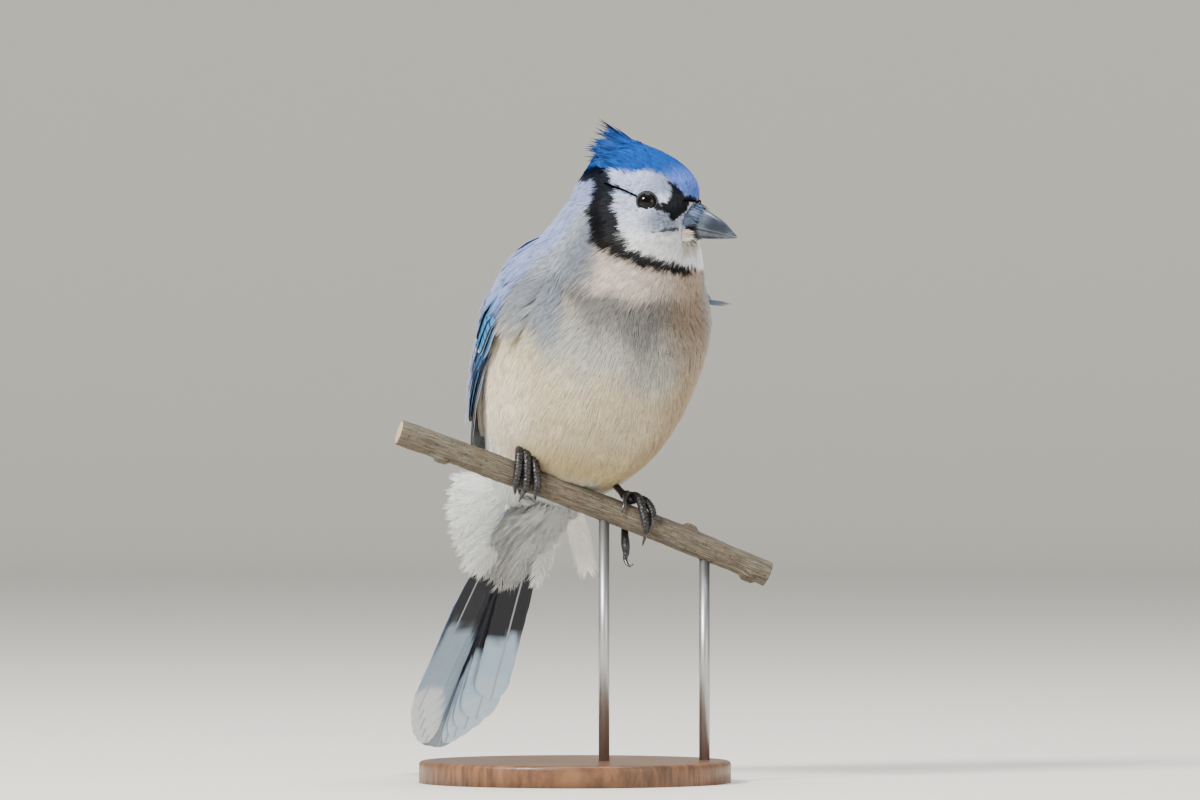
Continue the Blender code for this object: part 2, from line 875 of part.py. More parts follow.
def toe(name, at, knots):
    """One toe with its claw, round the branch."""
    count = (len(knots) - 1) * TOE_STEPS
    rows = [curve_through(knots, i / TOE_STEPS) for i in range(count + 1)]
    points = [at_toe(at + along, angle, reach) for along, angle, reach, _ in rows]
    return tube(name, points, [radius for *_, radius in rows])


def make_foot_and_leg(side, torso):
    at, toes = FEET[side]
    pad_centre = at_toe(at, 100, PERCH_RADIUS + GAP + 2.7)
    line, front, top = perch_axes()
    pad = egg(f"foot_{side}", pad_centre, (line * 2.9, front * 2.4, top * 2.6), 10, 8)
    join(pad, [toe(f"toe_{side}_{name}", at, knots) for name, knots in toes.items()])
    carve(torso, pad)
    hip = in_body(*LEG_TOPS[side])
    ankle = at_toe(at + ANKLES[side], 100, PERCH_RADIUS + GAP + 2.7)
    steps = 6
    points = [ankle + (hip - ankle) * (i / steps) for i in range(steps + 1)]
    radii = [LEG_RADIUS * (1.15 if i in (0, steps) else 1.0) for i in range(steps + 1)]
    leg = tube(f"leg_{side}", points, radii)
    carve(leg, pad)
    carve(leg, torso)
    if len(leg.data.polygons):
        settle(leg, "foot")
    else:
        remove(leg)
    return settle(pad, "foot")


# Wings.

def wing_feather(name, side, root, tip, height, half):
    """A feather on the wing shell from root to tip, each (along, angle), tilted like a shingle."""

    def on_shell(t):
        along = root[0] + (tip[0] - root[0]) * t
        angle = root[1] + (tip[1] - root[1]) * t
        return shell_point(along, angle * side)

    def frame_at(t):
        point = on_shell(t)
        ahead = (on_shell(t + 0.02) - on_shell(t - 0.02)).normalized()
        along = root[0] + (tip[0] - root[0]) * t
        angle = root[1] + (tip[1] - root[1]) * t
        to_breast = shell_point(along, (angle - 1) * side) - shell_point(along, (angle + 1) * side)
        up = ahead.cross(to_breast).normalized()
        if up.dot(point - in_body(*along_body(along))) < 0:
            up = -up
        across = up.cross(ahead).normalized()
        if across.dot(to_breast) < 0:
            across = -across
        slant = (across - up * SHINGLE_TILT).normalized()
        return point + up * height, slant, (up + across * SHINGLE_TILT).normalized()

    return vane(name, frame_at, half, half, 0.7, 0.25, WING_ROWS)


# The wing's core under its feathers: along the body, then the angles of its two edges.
WING_CORE = (
    (121, 108, 130),
    (112, 98, 144),
    (92, 93, 154),
    (64, 95, 156),
    (42, 100, 148),
    (20, 113, 134),
)
SHINGLE_TILT = 0.19
CORE_DEPTH = 4.0
CORE_TOP = 0.8
# Each tier of a folded wing: count, then root and tip as (along, angle) for its first, lowest
# feather and for its last, then height over the shell and half-width.
WING_TIERS = {
    "primary": (6, (86, 93), (22, 100), (80, 108), (-5, 131), -0.4, 4.6),
    "secondary": (5, (84, 97), (36, 103), (78, 134), (24, 146), 0.9, 5.8),
    "tertial": (3, (84, 134), (30, 147), (88, 154), (42, 163), 2.0, 6.0),
    "greater_covert": (5, (104, 92), (70, 95), (102, 142), (70, 152), 2.1, 6.6),
    "alula": (2, (104, 86), (74, 87), (101, 93), (68, 96), 1.2, 3.0),
    "median_covert": (4, (114, 97), (92, 95), (113, 140), (92, 150), 2.8, 7.4),
}


def wing_core(name, side):
    """A curved plate on the wing shell, which all the wing's feathers grow from."""
    columns = 5
    rows = len(WING_CORE) - 1
    bm = bmesh.new()
    bmesh.ops.create_grid(bm, x_segments=columns, y_segments=rows, size=1)
    outward = {}
    for vert in bm.verts:
        along, low, high = WING_CORE[round((vert.co.y + 1) / 2 * rows)]
        angle = low + (high - low) * (vert.co.x + 1) / 2
        point = shell_point(along, angle * side)
        out = (point - in_body(*along_body(along))).normalized()
        vert.co = point + out * (CORE_TOP - CORE_DEPTH)
        outward[vert.co.copy().freeze()] = out * CORE_DEPTH
    bmesh.ops.triangulate(bm, faces=bm.faces)
    made = bmesh.ops.extrude_face_region(bm, geom=bm.faces[:], use_keep_orig=True)
    for vert in made["geom"]:
        if isinstance(vert, bmesh.types.BMVert):
            vert.co += outward[vert.co.copy().freeze()]
    face_outward(bm)
    return add(name, bm)


def make_wing(name, side, torso, neck):
    core = wing_core(name, side)
    pieces = []
    for tier, (count, root_a, tip_a, root_b, tip_b, height, half) in WING_TIERS.items():
        for n in range(count):
            u = n / (count - 1)
            root = tuple(a + (b - a) * u for a, b in zip(root_a, root_b))
            tip = tuple(a + (b - a) * u for a, b in zip(tip_a, tip_b))
            pieces.append(wing_feather(f"{name}_{tier}_{n}", side, root, tip, height, half))
    join(core, pieces)
    carve(core, torso)
    carve(core, neck)
    return core


# Tail.

TAIL_LENGTHS = (134.0, 131.5, 127.5, 122.0, 115.0, 106.0)
TAIL_HALF_WIDTH = 9.0
TAIL_LAYER = 1.0
# The soft coverts round the tail's root: along the tail, half-width and half-depth.
TAIL_CONE = (
    (-7.0, 0.0, 0.0),
    (-3.0, 12.0, 10.0),
    (6.0, 17.0, 13.5),
    (18.0, 16.5, 10.5),
    (30.0, 14.5, 6.5),
    (40.0, 11.5, 3.4),
    (46.0, 0.0, 0.0),
)


def tail_axes():
    """Along the tail, towards the bird's right, and square to its upper face."""
    pitch, turn = math.radians(TAIL_PITCH), math.radians(TAIL_TURN)
    straight = FORWARD * -math.cos(pitch) - UP * math.sin(pitch)
    along = straight * math.cos(turn) + RIGHT * math.sin(turn)
    side = RIGHT * math.cos(turn) - straight * math.sin(turn)
    return along, side, along.cross(side).normalized()


def in_tail(along, right, up):
    line, side, top = tail_axes()
    root = in_body(*TAIL_ROOT) + RIGHT * TAIL_SHIFT
    return root + line * along + side * right + top * up


def tail_cone():
    """The soft coverts that wrap the root of the tail."""
    last = len(TAIL_CONE) - 1

    def place(share, angle):
        along, side, depth = curve_through(TAIL_CONE, share * last)
        low = 1.25 if math.sin(angle) < 0 else 0.8
        return in_tail(
            along, math.cos(angle) * max(side, 0), math.sin(angle) * max(depth, 0) * low
        )

    return add("tail", mapped_sphere(20, 12, place))


def tail_feather(side, number):
    """Feather 1 is the middle pair, on top; feather 6 is the outer one, lowest."""
    length = TAIL_LENGTHS[number - 1] + (3.0 * side if number == 6 else 0.0)
    root_out = 0.8 + 1.25 * (number - 1)
    tip_out = 1.8 + (3.2 if side > 0 else 2.6) * (number - 1)
    level = 2.6 - TAIL_LAYER * number - (TAIL_LAYER / 2 if number == 1 and side < 0 else 0.0)
    if number == 1 and side > 0:
        level += TAIL_LAYER / 2
    inner = TAIL_HALF_WIDTH if number == 1 else min(TAIL_HALF_WIDTH, root_out + 0.55 * (tip_out - root_out) - 0.25)

    def frame_at(t):
        out = root_out + (tip_out - root_out) * t
        arch = -0.006 * out**2
        point = in_tail(4 + (length - 4) * t, side * out, level + arch)
        _, across, top = tail_axes()
        slope = -0.012 * out
        return point, (across * side + top * slope).normalized(), (top - across * side * slope).normalized()

    outer = 6.0 if number == 6 else TAIL_HALF_WIDTH * 0.86
    return vane(f"rectrix_{side}_{number}", frame_at, inner, outer, 0.7, 0.2, RECTRIX_ROWS)


def tail_coverts():
    """Pointed coverts over and under the root of the tail."""
    made = []
    for face, count, reach, spread_out in ((1, 5, 52.0, 9.0), (-1, 6, 50.0, 11.0)):
        for n in range(count):
            u = 2 * n / (count - 1) - 1
            length = reach - 9 * u * u + 3 * math.sin(n * 2.6)
            lift = (6.0 if face > 0 else 7.5) - 2.6 * u * u

            def frame_at(t, u=u, length=length, lift=lift, face=face):
                height = lift * (1 - t) ** 1.2 + 1.6 + 0.5 * (n % 2)
                if face < 0:
                    height += 3.2
                point = in_tail(4 + (length - 4) * t, spread_out * u * (1 - 0.25 * t), face * height)
                _, across, top = tail_axes()
                return point, across, top * face

            made.append(vane(f"covert_{face}_{n}", frame_at, 4.4, 4.4, 0.9, 0.4, LOCK_ROWS))
    return made


def loose_feather(name, root, tip, facing, half, rows=VANE_ROWS):
    """A soft feather from root to tip, both in body directions, whose face looks to facing."""
    start, end = in_body(*root), in_body(*tip)
    way = (end - start).normalized()
    across = way.cross(facing).normalized()
    up = across.cross(way).normalized()

    def frame_at(t):
        bow = up * 5.0 * t * (1 - t)
        return start + (end - start) * t + bow, across, up

    return vane(name, frame_at, half, half, 0.9, 0.5, rows)


def rump_feathers():
    """The soft white feathers that stand out at the right of the tail's root."""
    tips = ((-48, 31, 6), (-50, 31, -6), (-52, 28.5, -16), (-53, 24, -25), (-54, 18, -33))
    made = []
    for number, tip in enumerate(tips):
        root = (-42 - number, 13 - 1.5 * number, 9 - 4.5 * number)
        made.append(loose_feather(f"rump_{number}", root, tip, FORWARD, 5.0, rows=LOCK_ROWS))
    return made


def vent_feather():
    """The long white feather that hangs behind the branch, from the bird's left flank."""
    return loose_feather("vent", (-22, -8, 2), (-25, -18.7, -31.0), Vector((0, -1, 0)), 4.6)


def make_tail(torso):
    core = tail_cone()
    pieces = [tail_feather(side, n) for side in (-1, 1) for n in range(1, 7)]
    join(core, pieces + tail_coverts() + rump_feathers())
    carve(core, torso)
    return core


def main():
    head, neck, torso = parted_body()
    join(torso, [vent_feather()])
    perch = make_perch()
    make_stand(perch)
    carve(torso, perch)
    make_eyes_and_head(head)
    make_bill(head)
    for side in ("left", "right"):
        make_foot_and_leg(side, torso)
    tail = carve(make_tail(torso), perch)
    for name, side in (("wing_left", -1), ("wing_right", 1)):
        wing = carve(make_wing(name, side, torso, neck), tail)
        settle(wing, "wing")
    settle(head, "head")
    settle(neck, "breast")
    settle(torso, "breast")
    settle(tail, "tail")
    settle(perch, "perch")
    for obj in PARTS.objects:
        obj.data.shade_smooth()
        obj.data.set_sharp_from_angle(angle=math.radians(40))
        print(obj.name, len(obj.data.polygons))
    print("total", sum(len(o.data.polygons) for o in PARTS.objects))


main()
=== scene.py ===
# %% [markdown]
# # A blue jay on a cut branch
# This notebook dresses the solid blue jay for its picture. The solids give every place and size.
# The bird gets one skin, and thousands of thin strands in tufts stand on it as its plumage.

import math

import bmesh
import bpy
import numpy as np
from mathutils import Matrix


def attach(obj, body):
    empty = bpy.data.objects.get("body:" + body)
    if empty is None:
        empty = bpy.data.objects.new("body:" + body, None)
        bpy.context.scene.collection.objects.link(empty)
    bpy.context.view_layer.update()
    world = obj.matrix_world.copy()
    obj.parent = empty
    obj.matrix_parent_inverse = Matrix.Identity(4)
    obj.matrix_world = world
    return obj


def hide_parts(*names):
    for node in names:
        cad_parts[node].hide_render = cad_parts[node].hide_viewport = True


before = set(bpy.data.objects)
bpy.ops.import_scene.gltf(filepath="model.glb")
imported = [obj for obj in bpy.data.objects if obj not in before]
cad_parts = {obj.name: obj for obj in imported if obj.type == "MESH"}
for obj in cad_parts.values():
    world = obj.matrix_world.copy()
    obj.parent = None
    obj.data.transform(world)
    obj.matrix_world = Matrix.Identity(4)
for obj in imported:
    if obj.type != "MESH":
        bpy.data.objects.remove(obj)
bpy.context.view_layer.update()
print("solids:", ", ".join(sorted(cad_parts)))

# %% [markdown]
# ## Sizes and directions
# Lengths are in millimetres and turn into metres when a mesh is made.
# The bird has its own directions: forward, right and up.

# %% Sizes and directions
MM = 0.001

PERCH_HEIGHT = 117.0
PERCH_FORWARD = 7.5
PERCH_RADIUS = 5.15
PERCH_ENDS = (-78.0, 87.0)
PERCH_SLOPE = 20.6
PERCH_TURN = 12.0
BASE_RADIUS = 64.0
BASE_THICKNESS = 9.0
BASE_EDGE = 1.6
ROD_RADIUS = 2.2
ROD_PLACES = (13.0, 58.0)
BODY_YAW = 27.0
BODY_PITCH = 54.0
HEAD_YAW = 72.0
TAIL_PITCH = 53.0
TAIL_ROOT = (-43.0, -4.5, 0.0)
TAIL_SHIFT = 5.5
TAIL_TURN = 1.2
HEAD_CENTRE = (48.0, -4.4, 121.0)
EYE_RADIUS = 4.9
EYE_PLACE = (8.2, 13.8, -1.2)
LID_RADIUS = 3.75
COAT_DEPTH = 1.7

UP = np.array((0.0, 0.0, 1.0))


def unit(vectors):
    return vectors / np.maximum(np.linalg.norm(vectors, axis=-1, keepdims=True), 1e-9)


def heading(yaw):
    """The level direction that yaw degrees point to, and the one to its right hand."""
    a = np.radians(yaw)
    flat = np.zeros_like(a)
    return np.stack((np.sin(a), -np.cos(a), flat), -1), np.stack((-np.cos(a), -np.sin(a), flat), -1)


FORWARD, RIGHT = heading(BODY_YAW)
AHEAD, ASIDE = heading(HEAD_YAW)
BODY_ORIGIN = UP * PERCH_HEIGHT
AXIS = FORWARD * math.cos(math.radians(BODY_PITCH)) + UP * math.sin(math.radians(BODY_PITCH))
BREAST = FORWARD * math.sin(math.radians(BODY_PITCH)) - UP * math.cos(math.radians(BODY_PITCH))


def dot(a, b):
    return np.sum(a * b, axis=-1)


def square_to(up, way):
    """up turned so that it stands square on way."""
    return unit(up - way * dot(up, way)[:, None])


def on_axis(along):
    """Places on the body's middle line, counted in millimetres from the tail's root."""
    return in_body(*TAIL_ROOT) + AXIS * np.asarray(along)[..., None]


def in_body(forward, right, up):
    parts = (np.asarray(v, float)[..., None] for v in (forward, right, up))
    forward, right, up = parts
    return BODY_ORIGIN + FORWARD * forward + RIGHT * right + UP * up


HEAD_AT = in_body(*HEAD_CENTRE)


def in_head(forward, right, up):
    parts = (np.asarray(v, float)[..., None] for v in (forward, right, up))
    forward, right, up = parts
    return HEAD_AT + AHEAD * forward + ASIDE * right + UP * up


def head_place(points):
    """Forward, right and up of points, from the middle of the head."""
    away = points - HEAD_AT
    return dot(away, AHEAD), dot(away, ASIDE), away[..., 2]


def body_place(points):
    """How far points are along the body's axis, and their angle round it from the breast."""
    away = points - in_body(*TAIL_ROOT)
    side = dot(away, RIGHT) - 0.5
    front = dot(away, BREAST)
    return dot(away, AXIS), np.degrees(np.arctan2(side, front)), side, front


print("head centre at", np.round(HEAD_AT), "mm")

# %% [markdown]
# ## The form of the body
# Rings from the tail root up to the crown give the body, as they do for the solids.
# Each ring has a centre, a turn, a lean and its reach to the front, the back and the sides.

# %% The form of the body
TRUNK = (
    (-4.0, 0.0, 0.0, 0.0, -2.0), (-1.0, 11.0, 8.5, 13.0, -2.0), (4.0, 18.0, 12.5, 19.0, -2.0),
    (14.0, 25.5, 15.0, 25.0, -3.0), (28.0, 36.0, 18.0, 31.5, -4.5), (46.0, 46.0, 22.0, 38.5, -5.0),
    (66.0, 51.5, 26.0, 43.0, -5.0), (86.0, 52.5, 29.0, 44.5, -5.5), (105.0, 50.5, 29.0, 42.0, -6.5),
    (119.0, 43.0, 28.0, 36.0, -6.0),
)
NECK = (
    (38.0, -5.0, 107.0, 14.0, 22.0, 32.0, 30.0, 29.5),
    (44.5, -4.0, 115.0, 32.0, 9.0, 26.5, 29.5, 24.0),
)
HEAD_SLICES = (
    (0.5, 25.6, 28.5, 18.0), (6.5, 25.0, 26.0, 17.2), (11.5, 21.8, 22.5, 15.8), (15.8, 16.8, 20.0, 13.6),
    (19.2, 11.0, 18.0, 10.8), (21.8, 5.0, 14.5, 7.2), (23.4, -4.0, 4.0, 0.0),
)


def body_rows():
    lean = 90.0 - BODY_PITCH
    pitch = math.radians(BODY_PITCH)
    root_f, _, root_z = TAIL_ROOT
    rows = []
    for along, front, back, side, right in TRUNK:
        f, z = root_f + along * math.cos(pitch), root_z + along * math.sin(pitch)
        rows.append((f, right, z, 0.0, lean, front, back, side))
    rows += list(NECK)
    f, r, z = HEAD_CENTRE
    turn = HEAD_YAW - BODY_YAW
    rows += [(f, r, z + up, turn, 0.0, front, back, side) for up, front, back, side in HEAD_SLICES]
    return np.array(rows)


BODY_ROWS = body_rows()


def curve_through(rows, t):
    """A smooth curve through rows of numbers; t counts rows."""
    rows = np.asarray(rows, float)
    last = len(rows) - 1
    i = np.clip(np.floor(t).astype(int), 0, last - 1)
    u = (t - i)[..., None]
    before, start, end, after = (rows[np.clip(i + k, 0, last)] for k in (-1, 0, 1, 2))
    return (
        start * (2 * u**3 - 3 * u**2 + 1)
        + (end - before) / 2 * (u**3 - 2 * u**2 + u)
        + end * (3 * u**2 - 2 * u**3)
        + (after - start) / 2 * (u**3 - u**2)
    )


def ring_point(row, angle):
    f, r, z, turn, lean, front, back, side = np.moveaxis(row, -1, 0)
    ahead, right = heading(BODY_YAW + turn)
    tilt = np.radians(lean)[..., None]
    down_front = ahead * np.cos(tilt) - UP * np.sin(tilt)
    reach = np.where(np.cos(angle) > 0, front, back)
    level = (reach * np.cos(angle))[..., None]
    out = (np.maximum(side, 0) * np.sin(angle))[..., None]
    return in_body(f, r, z) + down_front * level + right * out


def body_point(share, angle):
    """share runs from 0 at the tail root to 1 at the crown; angle 0 is the front."""
    share = np.clip(share, 0, 1)
    return ring_point(curve_through(BODY_ROWS, share * (len(BODY_ROWS) - 1)), angle)


def body_surface(share, angle, step=0.002):
    """The point on the body, its outward direction and its two slopes."""
    point = body_point(share, angle)
    by_share = (body_point(share + step, angle) - body_point(share - step, angle)) / (2 * step)
    by_angle = (body_point(share, angle + step) - body_point(share, angle - step)) / (2 * step)
    return point, unit(np.cross(by_share, by_angle)), by_share, by_angle


def moved(share, angle, by_share, by_angle, way):
    """share and angle after a move of way along the surface."""
    ss, sa, aa = dot(by_share, by_share), dot(by_share, by_angle), dot(by_angle, by_angle)
    sw, aw = dot(by_share, way), dot(by_angle, way)
    scale = np.maximum(ss * aa - sa * sa, 1e-3)
    return (
        np.clip(share + (aa * sw - sa * aw) / scale, 0.004, 0.996),
        angle + (ss * aw - sa * sw) / scale,
    )


_, TEST_OUT, _, _ = body_surface(np.array([0.5]), np.array([0.0]))
OUTWARD = 1.0 if dot(TEST_OUT, BREAST)[0] > 0 else -1.0
print("body rings:", len(BODY_ROWS))

# %% [markdown]
# ## Markings
# One function gives the plumage colour at any place. The skin and every tuft ask it, so they
# agree. Bands such as the black collar are lines on the head with a width at each point.
# The head's markings are the same on both sides, but on the bird's left the collar is missing
# between the throat and the nape. That is a fault of this model, and a real jay has it there.

# %% Markings


def srgb(red, green, blue):
    """A screen colour, each part 0 to 255, as the linear colour that the shaders use."""
    c = np.array((red, green, blue)) / 255.0
    return np.where(c <= 0.04045, c / 12.92, ((c + 0.055) / 1.055) ** 2.4)


CREAM = srgb(206, 194, 166)
LIT_FLANK_WHITE = srgb(240, 228, 206)
BREAST_GREY = srgb(98, 95, 96)
BREAST_BEIGE = srgb(214, 200, 190)
SHADOW_BLUE = srgb(120, 134, 154)
SHADED_SIDE_BROWN = srgb(156, 134, 113)
PALE_BLUE = srgb(182, 190, 196)
LOW_BELLY_REFLECTED_YELLOW = srgb(190, 168, 112)
MANTLE = srgb(148, 160, 200)
BACK_BLUE = srgb(112, 132, 188)
RUMP_BLUE = srgb(86, 126, 196)
VENT_WHITE = srgb(236, 240, 240)
FACE_WHITE = srgb(212, 219, 238)
THROAT_WHITE = srgb(246, 247, 252)
BROW_WHITE = srgb(180, 194, 230)
FACE_GREY = srgb(140, 150, 176)
CROWN_BLUE = srgb(26, 78, 158)
CREST_BLUE = srgb(20, 58, 124)
FOREHEAD = srgb(104, 136, 222)
BLACK = srgb(2, 3, 6)
CHIN_GREY = srgb(204, 199, 188)
NASAL_BLUE = srgb(104, 120, 146)


def smooth(low, high, value):
    t = np.clip((value - low) / (high - low), 0, 1)
    return t * t * (3 - 2 * t)


def ripple(points, size, seed):
    """Soft bumps from -1 to 1 whose width is about size."""
    made = np.random.default_rng(seed)
    waves = unit(made.normal(size=(7, 3))) * (2 * math.pi / size) * made.uniform(0.6, 1.5, (7, 1))
    phase = made.uniform(0, 2 * math.pi, 7)
    return np.sin(points @ waves.T + phase).sum(-1) / 3.2


def mixed(base, colour, share):
    return base + (colour - base) * np.clip(share, 0, 1)[..., None]


def band(places, line, soft=0.5):
    """1 on a line of (forward, out, up, half-width) rows, falling to 0 past its width."""
    line = np.asarray(line, float)
    nearest = np.full(len(places), -99.0)
    for start, end in zip(line, line[1:]):
        way = end[:3] - start[:3]
        t = np.clip((places - start[:3]) @ way / max(way @ way, 1e-6), 0, 1)
        gap = np.linalg.norm(places - start[:3] - t[:, None] * way, axis=1)
        nearest = np.maximum(nearest, start[3] + (end[3] - start[3]) * t - gap)
    return smooth(-soft, soft, nearest)


COLLAR = (
    (-20.5, 0.0, 12.0, 3.2), (-16.5, 8.5, 12.0, 3.6), (-10.6, 13.2, 10.8, 4.0), (-8.4, 15.9, 6.4, 4.1),
    (-9.0, 16.4, 3.4, 4.3), (-9.0, 17.6, -0.6, 5.2), (-8.0, 20.0, -4.4, 5.8), (-6.4, 21.7, -8.6, 6.4),
    (-5.8, 22.0, -12.0, 6.2), (-3.8, 22.3, -15.2, 4.8), (-0.5, 21.8, -18.6, 3.7), (4.7, 20.1, -21.7, 2.9),
    (10.5, 16.9, -24.1, 2.5), (15.4, 12.3, -25.8, 2.2), (20.7, 3.6, -26.5, 2.0), (21.4, 0.0, -26.6, 2.0),
)
EYE_LINE = (
    (5.4, 16.9, 0.6, 0.45), (3.6, 17.3, 1.8, 0.4), (0.0, 17.5, 3.4, 0.4), (-4.4, 17.1, 4.9, 0.5),
    (-9.0, 16.2, 6.5, 0.8),
)
LORES = (
    (24.6, 8.6, -8.6, 1.5), (24.8, 8.4, -3.6, 3.2), (22.4, 9.0, -3.6, 2.9), (19.4, 11.8, -7.4, 1.6),
    (20.3, 11.0, -3.0, 3.7), (20.8, 10.4, 1.0, 2.7), (19.6, 10.8, 4.6, 1.2), (17.6, 12.0, 6.4, 0.6),
)
LORES_TO_EYE = ((19.0, 12.2, -3.8, 3.0), (16.6, 14.0, -3.6, 2.0), (13.0, 16.2, -3.0, 1.2))
GAPE_LINE = ((20.5, 9.0, -11.6, 0.6), (16.9, 13.7, -12.5, 0.35), (13.5, 15.6, -12.9, 0.2))
FOREHEAD_LINE = ((21.4, 9.6, -0.8, 2.0), (24.9, 4.6, -0.4, 1.3), (26.4, 0.0, -1.6, 1.0))
CROWN_EDGE = (
    (-30.0, 12.2), (-14.0, 12.2), (-4.9, 10.9), (2.4, 10.0), (9.3, 11.4), (15.7, 9.4), (20.5, 4.6),
    (24.0, 0.2), (30.0, -2.4),
)


def markings(points):
    """The plumage colour at each point, as linear red, green and blue."""
    ahead, aside, above = head_place(points)
    along, angle, _, _ = body_place(points)
    wide = np.abs(angle)
    patch = ripple(points, 26.0, 3)
    colour = np.tile(CREAM, (len(points), 1))
    # The lower belly is painted yellower: partly its own cream tone, partly a painted yellow-green reflection.
    colour = mixed(colour, LOW_BELLY_REFLECTED_YELLOW, smooth(74, 44, along) * smooth(70, 20, wide) * 0.6)
    # The flank towards the key light is painted whiter: partly the belly's own white, partly painted light.
    colour = mixed(colour, LIT_FLANK_WHITE, smooth(40, 62, angle) * smooth(96, 60, along))
    colour = colour * (1 + ripple(points, 12.0, 4) * 0.05)[:, None]
    upper = smooth(92, 112, along + patch * 4)
    colour = mixed(colour, PALE_BLUE, smooth(84, 104, along + patch * 4) * smooth(70, 40, wide) * 0.6)
    grey = upper * smooth(95, 60, wide) * (0.3 + 0.5 * smooth(108, 118, along + patch * 3))
    colour = mixed(colour, BREAST_GREY, grey)
    beige = smooth(125, 133, along + patch * 2 + wide * 0.05) * smooth(56, 30, wide)
    colour = mixed(colour, BREAST_BEIGE, beige * 0.85)
    blue_side = smooth(38, 62, angle + patch * 6) * smooth(88, 106, along)
    colour = mixed(colour, SHADOW_BLUE, blue_side * 0.75)
    colour = mixed(colour, PALE_BLUE, smooth(60, 80, angle) * smooth(116, 132, along) * 0.5)
    # The other flank is painted browner: partly its own warm tone, partly painted shade with a warm reflection.
    brown = smooth(-3, -27, angle + patch * 3) * (0.72 - 0.4 * smooth(-34, -60, angle)) * smooth(30, 52, along)
    colour = mixed(colour, SHADED_SIDE_BROWN, brown)
    colour = mixed(colour, PALE_BLUE, smooth(-34, -62, angle) * smooth(30, 60, along) * 0.4)
    nape = smooth(-4, -14, ahead) * smooth(-34, -20, above) * smooth(6, -2, dot(points - HEAD_AT, BREAST))
    colour = mixed(colour, MANTLE, np.maximum(smooth(84, 102, wide) * smooth(40, 60, along), nape))
    colour = mixed(colour, BACK_BLUE, smooth(118, 150, wide) * smooth(20, 40, along) * 0.8)
    colour = mixed(colour, RUMP_BLUE, smooth(120, 145, wide) * smooth(36, 16, along))
    colour = mixed(colour, VENT_WHITE * 0.75, smooth(46, 24, along + patch * 4) * smooth(130, 100, wide))

    mirrored = np.stack((ahead, np.abs(aside), above), -1)
    on_head = smooth(60, 50, np.linalg.norm(points - HEAD_AT, axis=-1))
    inside = np.array([row[:3] for row in COLLAR])
    front_of_collar = ahead - np.interp(above, inside[::-1, 2][:13], inside[::-1, 0][:13])
    face = smooth(-0.8, 0.8, front_of_collar) * smooth(-26.8, -26.0, above) * on_head
    colour = mixed(colour, FACE_WHITE, face)
    colour = mixed(colour, THROAT_WHITE,
                   face * smooth(-9, -15, above) * (0.82 + 0.18 * ripple(points, 3.4, 18)))
    under_eye = smooth(9.0, 3.0, np.linalg.norm((mirrored - (15.0, 14.5, -8.5)) * (0.7, 1, 1.2), axis=-1))
    colour = mixed(colour, FACE_GREY, face * under_eye * 0.9)
    behind = smooth(8.0, 3.0, np.linalg.norm((mirrored - (0.0, 18.0, -3.0)) * (0.8, 1, 1.3), axis=-1))
    colour = mixed(colour, FACE_GREY, face * behind * 0.4)
    colour = mixed(colour, CHIN_GREY, face * smooth(5.5, 1.5, np.linalg.norm(mirrored - (23, 3, -18), axis=-1)))
    edge = np.interp(ahead, [row[0] for row in CROWN_EDGE], [row[1] for row in CROWN_EDGE])
    edge = edge + ripple(points, 5.0, 9) * 0.5
    colour = mixed(colour, BROW_WHITE, face * smooth(0, 3, above) * smooth(14, 8, above))
    colour = mixed(colour, FACE_GREY, face * smooth(0, 4, above) * smooth(6, 16, ahead) * 0.85)
    crown = smooth(-0.9, 0.9, above - edge) * on_head
    blue = mixed(np.tile(CROWN_BLUE, (len(points), 1)), FOREHEAD, smooth(13, 22, ahead) * smooth(15, 7, above))
    colour = colour + (blue - colour) * crown[:, None]
    ragged = np.stack((ripple(points, 3.0, 14), ripple(points, 3.0, 15), ripple(points, 3.0, 16)), -1)
    black = band(mirrored + ragged * 0.7, COLLAR, 0.8)
    for line in (EYE_LINE, LORES, LORES_TO_EYE, FOREHEAD_LINE, GAPE_LINE):
        black = np.maximum(black, band(mirrored, line, 0.35))
    dots = smooth(7, 3, np.linalg.norm(mirrored - (16.5, 13.5, -6.5), axis=-1))
    black = np.maximum(black, dots * smooth(0.35, 0.6, ripple(points, 2.2, 12)) * 0.7)
    return mixed(colour, BLACK, black * on_head * 0.97)


print("markings: collar of", len(COLLAR), "points and five more black lines")

# %% [markdown]
# ## Shaders
# A small class lets node sockets be added and multiplied like numbers.
# The plumage reads its colour from the mesh attribute named tint.

# %% A class for shader maths


class Wire:
    """A node's output that can be used in sums."""

    def __init__(self, paint, socket):
        self.paint, self.socket = paint, socket

    def maths(self, operation, *others):
        node = self.paint.tree.nodes.new("ShaderNodeMath")
        node.operation = operation
        for place, value in zip(node.inputs, (self, *others)):
            self.paint.plug(place, value)
        return Wire(self.paint, node.outputs[0])

    def __add__(self, other):
        return self.maths("ADD", other)

    def __sub__(self, other):
        return self.maths("SUBTRACT", other)

    def __mul__(self, other):
        return self.maths("MULTIPLY", other)

    def __truediv__(self, other):
        return self.maths("DIVIDE", other)

    def __rsub__(self, other):
        return (self * -1.0) + other

    __radd__ = __add__
    __rmul__ = __mul__

    def ramp(self, low, high):
        """0 below low and 1 above high, with a soft step between."""
        node = self.paint.node("ShaderNodeMapRange", interpolation_type="SMOOTHSTEP")
        for name, value in (("Value", self), ("From Min", low), ("From Max", high)):
            self.paint.plug(node.inputs[name], value)
        return Wire(self.paint, node.outputs["Result"])


